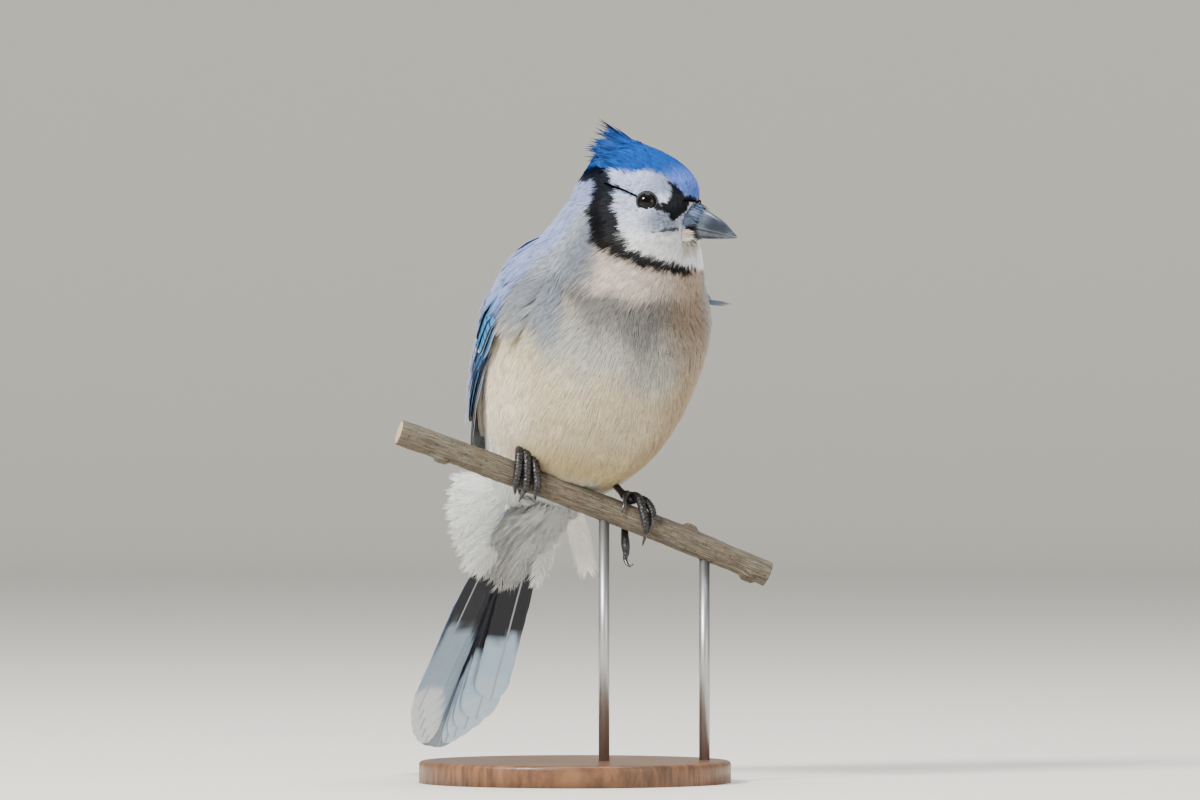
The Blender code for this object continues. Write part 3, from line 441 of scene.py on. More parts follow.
class Paint:
    """A material with one Principled shader, and what feeds it."""

    def __init__(self, name, **constants):
        self.material = bpy.data.materials.new(name)
        self.material.use_nodes = True
        self.tree = self.material.node_tree
        self.shader = self.tree.nodes["Principled BSDF"]
        for key, value in constants.items():
            self.shader.inputs[key.replace("_", " ")].default_value = value

    def plug(self, place, value):
        if isinstance(value, Wire):
            self.tree.links.new(value.socket, place)
        else:
            place.default_value = value

    def node(self, kind, inputs=None, **settings):
        made = self.tree.nodes.new(kind)
        for key, value in settings.items():
            setattr(made, key, value)
        for key, value in (inputs or {}).items():
            self.plug(made.inputs[key], value)
        return made

    def out(self, node, name):
        return Wire(self, node.outputs[name])

    def attribute(self, name, output="Fac"):
        return self.out(self.node("ShaderNodeAttribute", attribute_name=name), output)

    def place(self):
        return self.out(self.node("ShaderNodeTexCoord"), "Object")

    def stretched(self, scale, turn=(0, 0, 0)):
        node = self.node("ShaderNodeMapping", {"Vector": self.place(), "Scale": scale, "Rotation": turn})
        return self.out(node, "Vector")

    def noise(self, scale, detail=3.0, rough=0.55, at=None, output="Fac"):
        inputs = {"Scale": scale, "Detail": detail, "Roughness": rough}
        inputs["Vector"] = self.place() if at is None else at
        return self.out(self.node("ShaderNodeTexNoise", inputs), output)

    def mix(self, share, first, second, blend="MIX"):
        node = self.node("ShaderNodeMix", data_type="RGBA", blend_type=blend)
        sockets = [s for s in node.inputs if s.enabled]
        for place, value in zip(sockets, (share, first, second)):
            if not isinstance(value, (Wire, float, int)):
                value = (*value, 1.0) if len(value) == 3 else value
            self.plug(place, value)
        return Wire(self, next(s for s in node.outputs if s.enabled))

    def split(self, vector):
        node = self.node("ShaderNodeSeparateXYZ", {"Vector": vector})
        return [self.out(node, axis) for axis in "XYZ"]

    def bump(self, height, distance, strength=1.0):
        inputs = {"Height": height, "Distance": distance, "Strength": strength}
        self.plug(self.shader.inputs["Normal"], self.out(self.node("ShaderNodeBump", inputs), "Normal"))

    def feed(self, **wires):
        for key, value in wires.items():
            self.plug(self.shader.inputs[key.replace("_", " ")], value)
        return self.material


print("shader tools ready")

# %% [markdown]
# ## Materials
# Plumage is matt, because each barb scatters light. The bill, claws and eyes are glossy.
# The vanes of the wings and tail add fine slanting barbs, a shaft and dark bars.

# %% Plumage and vane materials


def plumage_paint():
    paint = Paint("plumage", Roughness=0.8)
    paint.shader.inputs["Specular IOR Level"].default_value = 0.04
    fleck = paint.noise(1400.0, 2.0) * 0.3 + 0.85
    tint = paint.attribute("tint", "Color")
    shade = paint.node("ShaderNodeCombineColor", {"Red": fleck, "Green": fleck, "Blue": fleck})
    colour = paint.mix(1.0, tint, paint.out(shade, "Color"), "MULTIPLY")
    return paint.feed(Base_Color=colour)


def vane_paint():
    """Barbs, shaft and bars from the map Vane, which holds millimetres across and along."""
    paint = Paint("vane", Roughness=0.5)
    paint.shader.inputs["Specular IOR Level"].default_value = 0.35
    across, along, _ = paint.split(paint.out(paint.node("ShaderNodeUVMap", uv_map="Vane"), "UV"))
    out = across.maths("ABSOLUTE")
    barb = ((along - out * 0.9) * 9.0).maths("SINE")
    ruffle = paint.noise(260.0, 3.0)
    wave = (along + ruffle * 1.6 - out * 0.12) / paint.attribute("bar_gap").maths("MAXIMUM", 0.5)
    bar = wave.maths("FRACT").maths("SUBTRACT", 0.5).maths("ABSOLUTE")
    bar = bar.ramp(0.36, 0.42) * paint.attribute("barred")
    tint = paint.attribute("tint", "Color")
    colour = paint.mix(bar, tint, srgb(16, 18, 26))
    shaft = out.ramp(0.5, 0.28)
    colour = paint.mix(shaft * 0.85, colour, paint.attribute("shaft", "Color"))
    fine = (barb * 0.05 + ruffle * 0.2 + 0.86)
    shade = paint.node("ShaderNodeCombineColor", {"Red": fine, "Green": fine, "Blue": fine})
    colour = paint.mix(1.0, colour, paint.out(shade, "Color"), "MULTIPLY")
    paint.bump(barb * 0.5 + shaft * 2.0, 0.0001)
    return paint.feed(Base_Color=colour)


PLUMAGE = plumage_paint()
VANE = vane_paint()

# %% Materials of the bare parts


def bill_paint():
    paint = Paint("bill_horn", Roughness=0.3, Coat_Weight=0.5, Coat_Roughness=0.16)
    streak = paint.noise(120.0, 4.0)
    colour = paint.mix(streak.ramp(0.3, 0.75), srgb(34, 40, 50), srgb(78, 88, 108))
    forward = paint.node("ShaderNodeVectorMath", {0: paint.place(), 1: tuple(AHEAD)}, operation="DOT_PRODUCT")
    horn = (paint.out(forward, "Value") * 1000.0 - float(HEAD_AT @ AHEAD)).ramp(25.5, 28.5)
    colour = paint.mix(horn, srgb(9, 10, 13), colour)
    paint.bump(paint.noise(700.0, 3.0), 0.00006, 0.3)
    return paint.feed(
        Base_Color=colour, Roughness=streak * 0.14 + 0.2 + (1.0 - horn) * 0.6, Coat_Weight=horn * 0.5)


def eye_paint(name, centre, looking):
    """A dark brown iris round a black pupil, from the distance to the eye's own axis."""
    paint = Paint(name, Roughness=0.08, Coat_Weight=0.1, Coat_Roughness=0.03)
    paint.shader.inputs["Specular IOR Level"].default_value = 0.16
    away = paint.node("ShaderNodeVectorMath", {0: paint.place(), 1: tuple(centre * MM)}, operation="SUBTRACT")
    axis = tuple(looking * 1.0)
    cross = paint.node("ShaderNodeVectorMath", {0: paint.out(away, "Vector"), 1: axis},
                       operation="CROSS_PRODUCT")
    length = paint.node("ShaderNodeVectorMath", {0: paint.out(cross, "Vector")}, operation="LENGTH")
    radius = paint.out(length, "Value") * 1000.0
    iris = paint.mix(paint.noise(900.0, 2.0), srgb(9, 7, 6), srgb(26, 18, 13))
    colour = paint.mix(radius.ramp(1.75, 2.05), srgb(4, 4, 6), iris)
    colour = paint.mix(radius.ramp(2.9, 3.4), colour, srgb(10, 8, 8))
    return paint.feed(Base_Color=colour)


def foot_paint():
    paint = Paint("foot_scales", Roughness=0.42)
    cell = paint.node("ShaderNodeTexVoronoi", {"Vector": paint.place(), "Scale": 1500.0})
    edge = paint.out(cell, "Distance")
    speckle = paint.noise(420.0, 4.0)
    colour = paint.mix(speckle.ramp(0.35, 0.7), srgb(10, 9, 12), srgb(44, 41, 46))
    paint.bump(edge * -1.0 + speckle * 0.5, 0.0002, 0.8)
    return paint.feed(Base_Color=colour, Roughness=speckle * 0.25 + 0.2)


def claw_paint():
    paint = Paint("claw_horn", Roughness=0.25, Coat_Weight=0.4)
    colour = paint.mix(paint.noise(300.0, 3.0), srgb(20, 19, 21), srgb(54, 50, 52))
    return paint.feed(Base_Color=colour)


def bark_paint():
    paint = Paint("bark", Roughness=0.9)
    grain_map = paint.out(paint.node("ShaderNodeUVMap", uv_map="Bark"), "UV")
    long_ways = paint.node("ShaderNodeMapping", {"Vector": grain_map, "Scale": (0.12, 1.0, 1.0)})
    grain = paint.noise(1.1, 6.0, 0.6, paint.out(long_ways, "Vector"))
    blotch = paint.noise(90.0, 4.0)
    speck = paint.noise(900.0, 2.0, 0.7)
    crack = paint.noise(0.55, 3.0, 0.5, paint.out(long_ways, "Vector"))
    colour = paint.mix(grain.ramp(0.3, 0.7), srgb(58, 50, 41), srgb(118, 110, 95))
    colour = paint.mix(blotch.ramp(0.5, 0.7) * 0.5, colour, srgb(88, 70, 50))
    colour = paint.mix(crack.ramp(0.6, 0.66) * 0.6, colour, srgb(34, 29, 25))
    colour = paint.mix(speck.ramp(0.6, 0.68) * 0.8, colour, srgb(26, 22, 20))
    paint.bump(grain * 0.6 + speck * 0.2 - crack.ramp(0.58, 0.68) * 0.5, 0.0006, 0.8)
    return paint.feed(Base_Color=colour)


def end_grain_paint():
    paint = Paint("cut_wood", Roughness=0.8)
    colour = paint.mix(paint.noise(500.0, 4.0), srgb(168, 138, 98), srgb(206, 182, 142))
    return paint.feed(Base_Color=colour)


def wood_paint():
    paint = Paint("stand_wood", Roughness=0.45, Coat_Weight=0.15)
    grain = paint.noise(60.0, 6.0, 0.6, paint.stretched((1.0, 9.0, 1.0)))
    colour = paint.mix(grain.ramp(0.3, 0.7), srgb(74, 46, 28), srgb(132, 90, 58))
    paint.bump(grain, 0.0001, 0.5)
    return paint.feed(Base_Color=colour)


def steel_paint():
    paint = Paint("stand_steel", Metallic=1.0, Roughness=0.42)
    rub = paint.noise(900.0, 2.0, 0.5, paint.stretched((1.0, 1.0, 0.05)))
    colour = paint.mix(rub, srgb(150, 152, 156), srgb(188, 190, 194))
    return paint.feed(Base_Color=colour)


def plain_paint(name, colour, roughness):
    paint = Paint(name, Roughness=roughness)
    return paint.feed(Base_Color=(*colour, 1.0))


BILL, FOOT, CLAW = bill_paint(), foot_paint(), claw_paint()
BARK, END_GRAIN, WOOD, STEEL = bark_paint(), end_grain_paint(), wood_paint(), steel_paint()
LID_SKIN = plain_paint("lid_skin", srgb(26, 27, 32), 0.6)
print("materials:", len(bpy.data.materials))

# %% [markdown]
# ## Meshes from arrays
# A strand is a thin closed blade with three corners all along and a pointed tip.
# Thousands of them are computed at once and joined in one mesh.

# %% Meshes from arrays


def mesh_piece(name, verts, faces, material, tint=None, maps=None, values=None, second=None, facing=None):
    """An object from points in millimetres and faces, with its colours and maps.

    facing gives each corner of each face the direction that it is shaded for.
    """
    mesh = bpy.data.meshes.new(name)
    verts = np.ascontiguousarray(verts, float)
    faces = np.ascontiguousarray(outward(verts, faces), np.int32)
    corners = faces.shape[1]
    mesh.vertices.add(len(verts))
    mesh.vertices.foreach_set("co", (verts * MM).ravel())
    mesh.loops.add(faces.size)
    mesh.loops.foreach_set("vertex_index", faces.ravel())
    mesh.polygons.add(len(faces))
    mesh.polygons.foreach_set("loop_start", np.arange(0, faces.size, corners, dtype=np.int32))
    mesh.polygons.foreach_set("use_smooth", np.ones(len(faces), bool))
    mesh.update(calc_edges=True)
    if tint is not None:
        paint_points(mesh, "tint", tint)
    for key, value in (values or {}).items():
        if np.ndim(value) == 2:
            paint_points(mesh, key, value)
        else:
            made = mesh.attributes.new(key, "FLOAT", "POINT")
            made.data.foreach_set("value", np.ascontiguousarray(value, np.float32))
    for key, value in (maps or {}).items():
        layer = mesh.uv_layers.new(name=key)
        layer.data.foreach_set("uv", np.ascontiguousarray(value[faces.ravel()], np.float32).ravel())
    mesh.materials.append(material)
    if second:
        mesh.materials.append(second[0])
        mesh.polygons.foreach_set("material_index", np.asarray(second[1], np.int32))
    if facing is not None:
        mesh.normals_split_custom_set(facing.reshape(-1, 3))
    made = bpy.data.objects.new(name, mesh)
    bpy.context.scene.collection.objects.link(made)
    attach(made, "root")
    return made


def outward(verts, faces):
    """The same faces, turned over when they enclose their piece inside out."""
    a, b, c = (verts[faces[:, i]] for i in range(3))
    return faces if dot(a, np.cross(b, c)).sum() > 0 else faces[:, ::-1]


def paint_points(mesh, name, colours):
    made = mesh.attributes.new(name, "FLOAT_COLOR", "POINT")
    full = np.concatenate((colours, np.ones((len(colours), 1))), 1)
    made.data.foreach_set("color", np.ascontiguousarray(full, np.float32).ravel())


def strand_faces(rings):
    """Triangles of one strand with that many rings of three corners and a tip."""
    faces = [(0, 1, 2)]
    for ring in range(rings - 1):
        for corner in range(3):
            a, b = ring * 3 + corner, ring * 3 + (corner + 1) % 3
            faces += [(b + 3, b, a), (a + 3, b + 3, a)]
    last = (rings - 1) * 3
    tip = rings * 3
    faces += [(last + (corner + 1) % 3, last + corner, tip) for corner in range(3)]
    return np.array(faces)


def strands(spine, side, up, half, thin=0.45):
    """Points of strands. spine is (strands, rings and tip, 3), as are side and up."""
    count = len(spine)
    width = half[..., None]
    left = spine[:, :-1] - side[:, :-1] * width[:, :-1]
    right = spine[:, :-1] + side[:, :-1] * width[:, :-1]
    ridge = spine[:, :-1] + up[:, :-1] * width[:, :-1] * thin * 2
    rings = np.stack((left, right, ridge), 2).reshape(count, -1, 3)
    return np.concatenate((rings, spine[:, -1:]), 1)


def strand_facing(side, up, spread=0.45):
    """The direction that each corner is shaded for: close to up, so strands look like one coat."""
    rings = np.stack((up - side * spread, up + side * spread, up), 2)[:, :-1]
    return unit(np.concatenate((rings.reshape(len(up), -1, 3), up[:, -1:]), 1))


class Coat:
    """Gathers strands for one piece of the plumage."""

    def __init__(self):
        self.verts, self.faces, self.tint, self.bake, self.facing, self.turn = [], [], [], [], [], []
        self.count = 0

    def add(self, points, facing, tint, bake):
        """points is (strands, corners, 3); facing, tint and bake match it."""
        many, corners, _ = points.shape
        template = strand_faces((corners - 1) // 3)
        starts = self.count + np.arange(many) * corners
        self.faces.append((template[None] + starts[:, None, None]).reshape(-1, 3))
        under = np.all(template % 3 < 2, axis=1)
        under = under | np.all((template % 3 < 2) | (template == corners - 1), axis=1)
        self.turn.append(np.tile(np.where(under, -1.0, 1.0), many))
        self.verts.append(points.reshape(-1, 3))
        self.facing.append(facing.reshape(-1, 3))
        self.tint.append(tint.reshape(-1, 3))
        self.bake.append(bake.reshape(-1, 2))
        self.count += many * corners

    def build(self, name, slot, *replaced):
        verts, faces = np.concatenate(self.verts), np.concatenate(self.faces)
        tint, bake = np.concatenate(self.tint), np.concatenate(self.bake)
        facing = np.concatenate(self.facing)[faces] * np.concatenate(self.turn)[:, None, None]
        made = mesh_piece(name, verts, faces, PLUMAGE, np.clip(tint, 0, 1), {"OFBake": bake},
                          facing=facing)
        print(f"{name}: {len(faces)} triangles")
        return made


PATCH = 0.003
RING_SHARES = {3: (0.0, 0.42, 0.78, 1.0), 2: (0.0, 0.55, 1.0), 4: (0.0, 0.28, 0.55, 0.8, 1.0)}


def tufts(coat, starts, middles, ends, sides, ups, half, blades, blade_half, tint, place, rings=3,
          closing=0.0, shades=(0.85, 1.0), uneven=0.25, cup=0.08, lean=0.25, seed=0):
    """Tufts of strands that fan out from a root, each along a bent line of three points.

    half and blade_half are the half-widths of a tuft and of a strand, one for all or one each.
    closing 0 leaves the tip as wide as the middle, and 1 draws it to a point. shades gives the
    brightness at even steps from root to tip; darker roots are partly painted shade deep in the coat
    and partly the feathers' own darker bases. cup bends the tuft round its middle, and lean
    turns its strands by up to that many radians.
    """
    made = np.random.default_rng(seed)
    count = len(starts)
    half, blade_half = (np.broadcast_to(v, count) for v in (half, blade_half))
    shares = np.array(RING_SHARES[rings])
    column = np.linspace(-1, 1, blades) + made.uniform(-0.16, 0.16, (count, blades))
    reach = 1 - uneven * np.abs(column) ** 1.5 - made.uniform(0, uneven, (count, blades))
    t = reach[..., None] * shares
    t4 = t[..., None]
    p0, p1, p2 = (p[:, None, None, :] for p in (starts, middles, ends))
    spine = p0 * (1 - t4) * (1 - 2 * t4) + p1 * 4 * t4 * (1 - t4) + p2 * t4 * (2 * t4 - 1)
    side = sides[:, None, None, :]
    up = ups[:, None, None, :]
    open_width = np.minimum(1.0, 0.4 + 1.3 * t) * (1 - closing * smooth(0.35, 1.0, t))
    offset = column[..., None] * half[:, None, None] * open_width
    spine = spine + side * offset[..., None] - up * (cup * half[:, None, None] * column[..., None] ** 2)[..., None]
    wander = made.normal(0, 0.06, (count, blades, 1)) * half[:, None, None] * t**2
    spine = spine + side * wander[..., None]
    turn = made.uniform(-lean, lean, (count, blades, 1, 1))
    across = side * np.cos(turn) + up * np.sin(turn)
    ridge = up * np.cos(turn) - side * np.sin(turn)
    taper = np.array({3: (0.7, 1.0, 0.7, 0.0), 2: (0.8, 1.0, 0.0), 4: (0.6, 1.0, 0.9, 0.55, 0.0)}[rings])
    width = blade_half[:, None, None] * taper * made.uniform(0.8, 1.2, (count, blades, 1))
    flat = (count * blades, rings + 1)
    many = lambda v: np.broadcast_to(v, (count, blades, rings + 1, 3)).reshape(*flat, 3)
    points = strands(many(spine), many(across), many(ridge), width.reshape(flat))
    facing = strand_facing(many(across), many(unit(up + ridge)))
    ring_of = np.repeat(np.arange(rings), 3)
    shade = np.interp(np.append(shares[ring_of], 1.0), np.linspace(0, 1, len(shades)), shades)
    bright = made.uniform(0.88, 1.1, (count, blades, 1, 1))
    colour = tint[:, None, None, :] * bright * shade[:, None]
    edge = np.tile((-0.05, 0.05, 0), rings + 1)[: 3 * rings + 1]
    u = place[:, None, None, 0] + (column[..., None] * 0.5) * PATCH + edge * PATCH
    v = place[:, None, None, 1] + (np.append(shares[ring_of], 1.0) - 0.5) * PATCH
    bake = np.stack(np.broadcast_arrays(u, v), -1).reshape(count * blades, -1, 2)
    coat.add(points, facing, colour.reshape(count * blades, -1, 3), bake)


print("strand of 3 rings:", len(strand_faces(3)), "triangles")

# %% [markdown]
# ## Skin
# The skin is one closed mesh under the plumage. The body, the tail's root and the wings' cores
# are joined and remeshed, so that no seam shows between the solids that it replaces.

# %% Wing and tail places
WING_SHELL = (
    (-26.0, 20.5, 8.0), (0.0, 28.5, 15.0), (28.0, 37.5, 21.5), (46.0, 41.8, 25.0), (66.0, 45.2, 28.5),
    (86.0, 46.2, 31.0), (105.0, 42.0, 31.5), (122.0, 33.5, 30.0),
)
WING_CORE = (
    (121, 108, 130), (112, 98, 144), (92, 93, 154), (64, 95, 156), (42, 100, 148), (20, 113, 134),
)
TAIL_CONE = (
    (-7.0, 0.0, 0.0), (-3.0, 7.0, 8.0), (6.0, 10.0, 10.0), (18.0, 10.0, 8.0), (30.0, 9.0, 5.0),
    (40.0, 7.0, 2.4), (46.0, 0.0, 0.0),
)


def columns_at(rows, value):
    """The other columns of rows, read straight between rows whose first column holds value."""
    table = np.asarray(rows, float)
    table = table[np.argsort(table[:, 0])]
    return [np.interp(value, table[:, 0], column) for column in table[:, 1:].T]


def shell_point(along, angle, lift=0.0):
    """A point lift above the surface that the folded wings lie on."""
    along, angle = np.broadcast_arrays(np.asarray(along, float), np.asarray(angle, float))
    side, back = columns_at(WING_SHELL, along)
    pitch = math.radians(BODY_PITCH)
    root_f, root_r, root_z = TAIL_ROOT
    flat = np.zeros_like(along)
    row = np.stack(
        (root_f + along * math.cos(pitch), flat + root_r, root_z + along * math.sin(pitch), flat,
         flat + 90.0 - BODY_PITCH, side, back, side), -1)
    point = ring_point(row, np.radians(angle))
    axis_at = on_axis(along)
    return point + unit(point - axis_at) * np.asarray(lift)[..., None]


def tail_axes():
    pitch, turn = math.radians(TAIL_PITCH), math.radians(TAIL_TURN)
    straight = FORWARD * -math.cos(pitch) - UP * math.sin(pitch)
    along = straight * math.cos(turn) + RIGHT * math.sin(turn)
    side = RIGHT * math.cos(turn) - straight * math.sin(turn)
    return along, side, unit(np.cross(along, side))


TAIL_ALONG, TAIL_SIDE, TAIL_TOP = tail_axes()
TAIL_AT = in_body(*TAIL_ROOT) + RIGHT * TAIL_SHIFT


def in_tail(along, right, up):
    along, right, up = np.broadcast_arrays(*(np.asarray(v, float) for v in (along, right, up)))
    return TAIL_AT + TAIL_ALONG * along[..., None] + TAIL_SIDE * right[..., None] + TAIL_TOP * up[..., None]


# %% Skin
BILL_BASE = in_head(24.0, 0.0, -8.0)
TAIL_FLATNESS = 0.7


def mapped_sphere(around, rings, place):
    """A closed mesh: a sphere whose points move to place(share, angle)."""
    bm = bmesh.new()
    bmesh.ops.create_uvsphere(bm, u_segments=around, v_segments=rings, radius=1)
    flat = np.array([v.co for v in bm.verts])
    share = 1 - np.arccos(np.clip(flat[:, 2], -1, 1)) / math.pi
    for vert, point in zip(bm.verts, place(share, np.arctan2(flat[:, 1], flat[:, 0]))):
        vert.co = point * MM
    bmesh.ops.recalc_face_normals(bm, faces=bm.faces)
    if bm.calc_volume(signed=True) < 0:
        bmesh.ops.reverse_faces(bm, faces=bm.faces)
    return bm


def skin_body(share, angle):
    point, out, _, _ = body_surface(np.clip(share, 0.004, 0.996), angle)
    return point - out * OUTWARD * coat_depth(point)[:, None]


def coat_depth(points):
    """How far the skin lies under the solids: least on the face, most on the belly."""
    bill_away = np.linalg.norm(points - BILL_BASE, axis=-1)
    return 0.7 + (COAT_DEPTH - 0.7) * smooth(8, 46, bill_away)


def skin_tail(share, angle):
    along, side, depth = np.moveaxis(curve_through(TAIL_CONE, share * (len(TAIL_CONE) - 1)), -1, 0)
    return in_tail(along, np.cos(angle) * np.maximum(side, 0),
                   np.sin(angle) * np.maximum(depth, 0) * TAIL_FLATNESS)


def skin_wing(side):
    """The fleshy core of a folded wing, as a flattened egg on the wing's surface."""

    def place(share, angle):
        along = 22 + 96 * share
        low, high = columns_at(WING_CORE, along)
        level = np.sqrt(np.clip(1 - (2 * share - 1) ** 2, 0, 1)) ** 0.5
        turn = (low + high) / 2 + (high - low) / 2 * np.cos(angle) * level
        return shell_point(along, turn * side, -3.0 + 3.0 * np.sin(angle) * level)

    return place


SKIN_GRAIN = 1.0


def make_skin():
    whole = bmesh.new()
    forms = [(96, 120, skin_body), (40, 30, skin_tail), (40, 40, skin_wing(1)), (40, 40, skin_wing(-1))]
    for around, rings, place in forms:
        bm = mapped_sphere(around, rings, place)
        mesh = bpy.data.meshes.new("form")
        bm.to_mesh(mesh)
        bm.free()
        whole.from_mesh(mesh)
        bpy.data.meshes.remove(mesh)
    mesh = bpy.data.meshes.new("skin")
    whole.to_mesh(mesh)
    whole.free()
    skin = bpy.data.objects.new("skin", mesh)
    bpy.context.scene.collection.objects.link(skin)
    step = skin.modifiers.new("fuse", "REMESH")
    step.mode = "VOXEL"
    step.voxel_size = SKIN_GRAIN * MM
    step.use_smooth_shade = True
    step = skin.modifiers.new("soften", "SMOOTH")
    step.factor, step.iterations = 0.5, 4
    graph = bpy.context.evaluated_depsgraph_get()
    fused = bpy.data.meshes.new_from_object(skin.evaluated_get(graph))
    skin.modifiers.clear()
    skin.data = fused
    co = np.zeros(len(fused.vertices) * 3)
    fused.vertices.foreach_get("co", co)
    points = co.reshape(-1, 3) / MM
    paint_points(fused, "tint", markings(points) * 0.8)
    fused.materials.clear()
    fused.materials.append(PLUMAGE)
    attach(skin, "root")
    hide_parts("head", "neck", "torso")
    print("skin:", len(fused.polygons), "faces")


make_skin()

# %% [markdown]
# ## The lie of the coat
# Small feathers start at the bill and lie back over the head, then down the body to the tail.
# Tufts get longer and wider on the way. Each follows the bend of the body in two steps.

# %% The lie of the coat


def lie_of_coat(points, out):
    """The way that the feathers point at each place, along the surface."""
    from_bill = points - BILL_BASE
    far = np.linalg.norm(from_bill, axis=-1)
    _, _, side, _ = body_place(points)
    down = -AXIS + RIGHT * (np.clip(side, -40, 40) * 0.006)[:, None]
    way = unit(from_bill) + (unit(down) - unit(from_bill)) * smooth(30, 58, far)[:, None]
    for flank in (1, -1):
        from_eye = points - in_head(EYE_PLACE[0], EYE_PLACE[1] * flank, EYE_PLACE[2])
        near = smooth(9.0, 5.2, np.linalg.norm(from_eye, axis=-1))
        way = way + unit(from_eye) * (near * 1.5)[:, None]
    way = unit(way - out * dot(way, out)[:, None])
    turn = ripple(points, 14.0, 5) * 0.16 + ripple(points, 5.0, 6) * 0.1
    turn = turn * smooth(6, 24, far)
    square = np.cross(out, way)
    return unit(way * np.cos(turn)[:, None] + square * np.sin(turn)[:, None])


def scattered(count, weight, seed):
    """count places as (share, angle) on the body, spread by area times weight(points)."""
    made = np.random.default_rng(seed)
    rows, columns = 220, 256
    share, angle = np.meshgrid(
        (np.arange(rows) + 0.5) / rows, (np.arange(columns) + 0.5) / columns * 2 * math.pi - math.pi,
        indexing="ij")
    share, angle = share.ravel(), angle.ravel()
    point, _, by_share, by_angle = body_surface(np.clip(share, 0.006, 0.994), angle)
    area = np.linalg.norm(np.cross(by_share, by_angle), axis=-1) * weight(point)
    total = np.cumsum(area)
    picks = np.searchsorted(total, (np.arange(count) + made.uniform(0, 1, count)) / count * total[-1])
    picks = np.clip(picks, 0, len(share) - 1)
    share = share[picks] + made.uniform(-0.5, 0.5, count) / rows
    angle = angle[picks] + made.uniform(-0.5, 0.5, count) / columns * 2 * math.pi
    return np.clip(share, 0.006, 0.994), angle


def eye_gap(points):
    """Distance of each point from the nearer eye's middle."""
    ahead, aside, above = EYE_PLACE
    gaps = [np.linalg.norm(points - in_head(ahead, aside * flank, above), axis=-1) for flank in (1, -1)]
    return np.minimum(*gaps)


def bare(points):
    """True where no small feather grows: eyes, bill, and under the folded wings."""
    ahead, aside, above = head_place(points)
    along, angle, _, _ = body_place(points)
    in_bill = (ahead > 21) & (np.abs(aside) < 5.6) & (above < -4.0) & (above > -15.2)
    under_wing = (along > 34) & (along < 108) & (np.abs(angle) > 108) & (np.abs(angle) < 142)
    return in_bill | under_wing | (eye_gap(points) < 5.3) | (above > 22.4)


def lay_tufts(coats, count, weight, size, seed, blades, rings, vary):
    """Scatters tufts, whose brightness varies by vary.

    size(points) gives length, half-width, strand half-width and lift.
    """
    share, angle = scattered(count, weight, seed)
    made = np.random.default_rng(seed + 1)
    root, out, by_share, by_angle = body_surface(share, angle)
    out = out * OUTWARD
    keep = ~bare(root)
    all_rows = (share, angle, root, out, by_share, by_angle)
    share, angle, root, out, by_share, by_angle = (v[keep] for v in all_rows)
    length, half, fine, lift = size(root)
    length = length * made.uniform(0.8, 1.2, len(length))
    depth = coat_depth(root)
    way = lie_of_coat(root, out)
    share_1, angle_1 = moved(share, angle, by_share, by_angle, way * (length / 2)[:, None])
    mid, out_1, by_share_1, by_angle_1 = body_surface(share_1, angle_1)
    out_1 = out_1 * OUTWARD
    way_1 = unit(lie_of_coat(mid, out_1) * 0.6 + (way - out_1 * dot(way, out_1)[:, None]) * 0.4)
    share_2, angle_2 = moved(share_1, angle_1, by_share_1, by_angle_1, way_1 * (length / 2)[:, None])
    end, out_2, _, _ = body_surface(share_2, angle_2)
    out_2 = out_2 * OUTWARD
    loose = lift * made.uniform(0.5, 1.3, len(lift))
    starts = root - out * (depth + 0.5)[:, None]
    middles = mid + out_1 * (loose * 0.55 - depth * 0.55)[:, None]
    ends = end + out_2 * (loose - depth * 0.35)[:, None]
    sides = unit(np.cross(way_1, out_1))
    tint = markings(root * 0.45 + mid * 0.55) * made.uniform(1 - vary, 1 + vary * 0.7, (len(root), 1))
    place = np.stack((angle / (2 * math.pi) % 1.0, share), -1)
    region = region_of(mid)
    for name in REGIONS:
        pick = region == name
        if pick.any():
            shades = SHADES.get(name.split("_")[1], (0.86, 1.0))
            tufts(coats[name], starts[pick], middles[pick], ends[pick], sides[pick], out_1[pick], half[pick],
                  blades, fine[pick], tint[pick], place[pick], rings, shades=shades,
                  seed=seed + REGIONS.index(name))


PARTS = ("crown", "throat", "shoulder", "breast", "chest", "belly")
REGIONS = tuple(f"coat_{part}_{side}" for part in PARTS for side in ("right", "left"))
# Throat and crown tufts have much darker roots: painted shade between the strands.
SHADES = {"throat": (0.5, 1.05), "crown": (0.5, 1.05)}


def region_of(points):
    """The name of the coat piece that each point belongs to."""
    _, aside, above = head_place(points)
    along, angle, side, _ = body_place(points)
    far = np.linalg.norm(points - HEAD_AT, axis=-1)
    part = np.where(along > 100, "breast", np.where(along > 66, "chest", "belly")).astype("<U12")
    part = np.where((np.abs(angle) > 88) & (along > 30), "shoulder", part)
    head = (far < 42) & (above > -27.5)
    part = np.where(head, np.where(above > -3, "crown", "throat"), part)
    right = np.where(head, aside > 0, side > 3)
    return np.char.add(np.char.add("coat_", part), np.where(right, "_right", "_left"))


def head_weight(points):
    far = np.linalg.norm(points - HEAD_AT, axis=-1)
    near_bill = smooth(34, 10, np.linalg.norm(points - BILL_BASE, axis=-1))
    return smooth(46, 36, far) * (1.0 + 1.6 * near_bill)


def head_size(points):
    away = np.linalg.norm(points - BILL_BASE, axis=-1)
    _, _, above = head_place(points)
    crown = smooth(8, 16, above)
    length = 1.5 + 0.135 * away + 2.4 * crown
    half = 0.32 + 0.022 * away + 0.3 * crown
    fine = 0.085 + 0.0026 * away + 0.03 * crown
    lift = 0.1 + 0.012 * away
    throat = smooth(-10, -16, above)
    length = length + 2.0 * throat
    half = half + 0.25 * throat
    fine = fine + 0.02 * throat
    lift = lift + 0.45 * throat
    length = length * (0.45 + 0.55 * smooth(5.2, 9.5, eye_gap(points)))
    return length, half, fine, lift


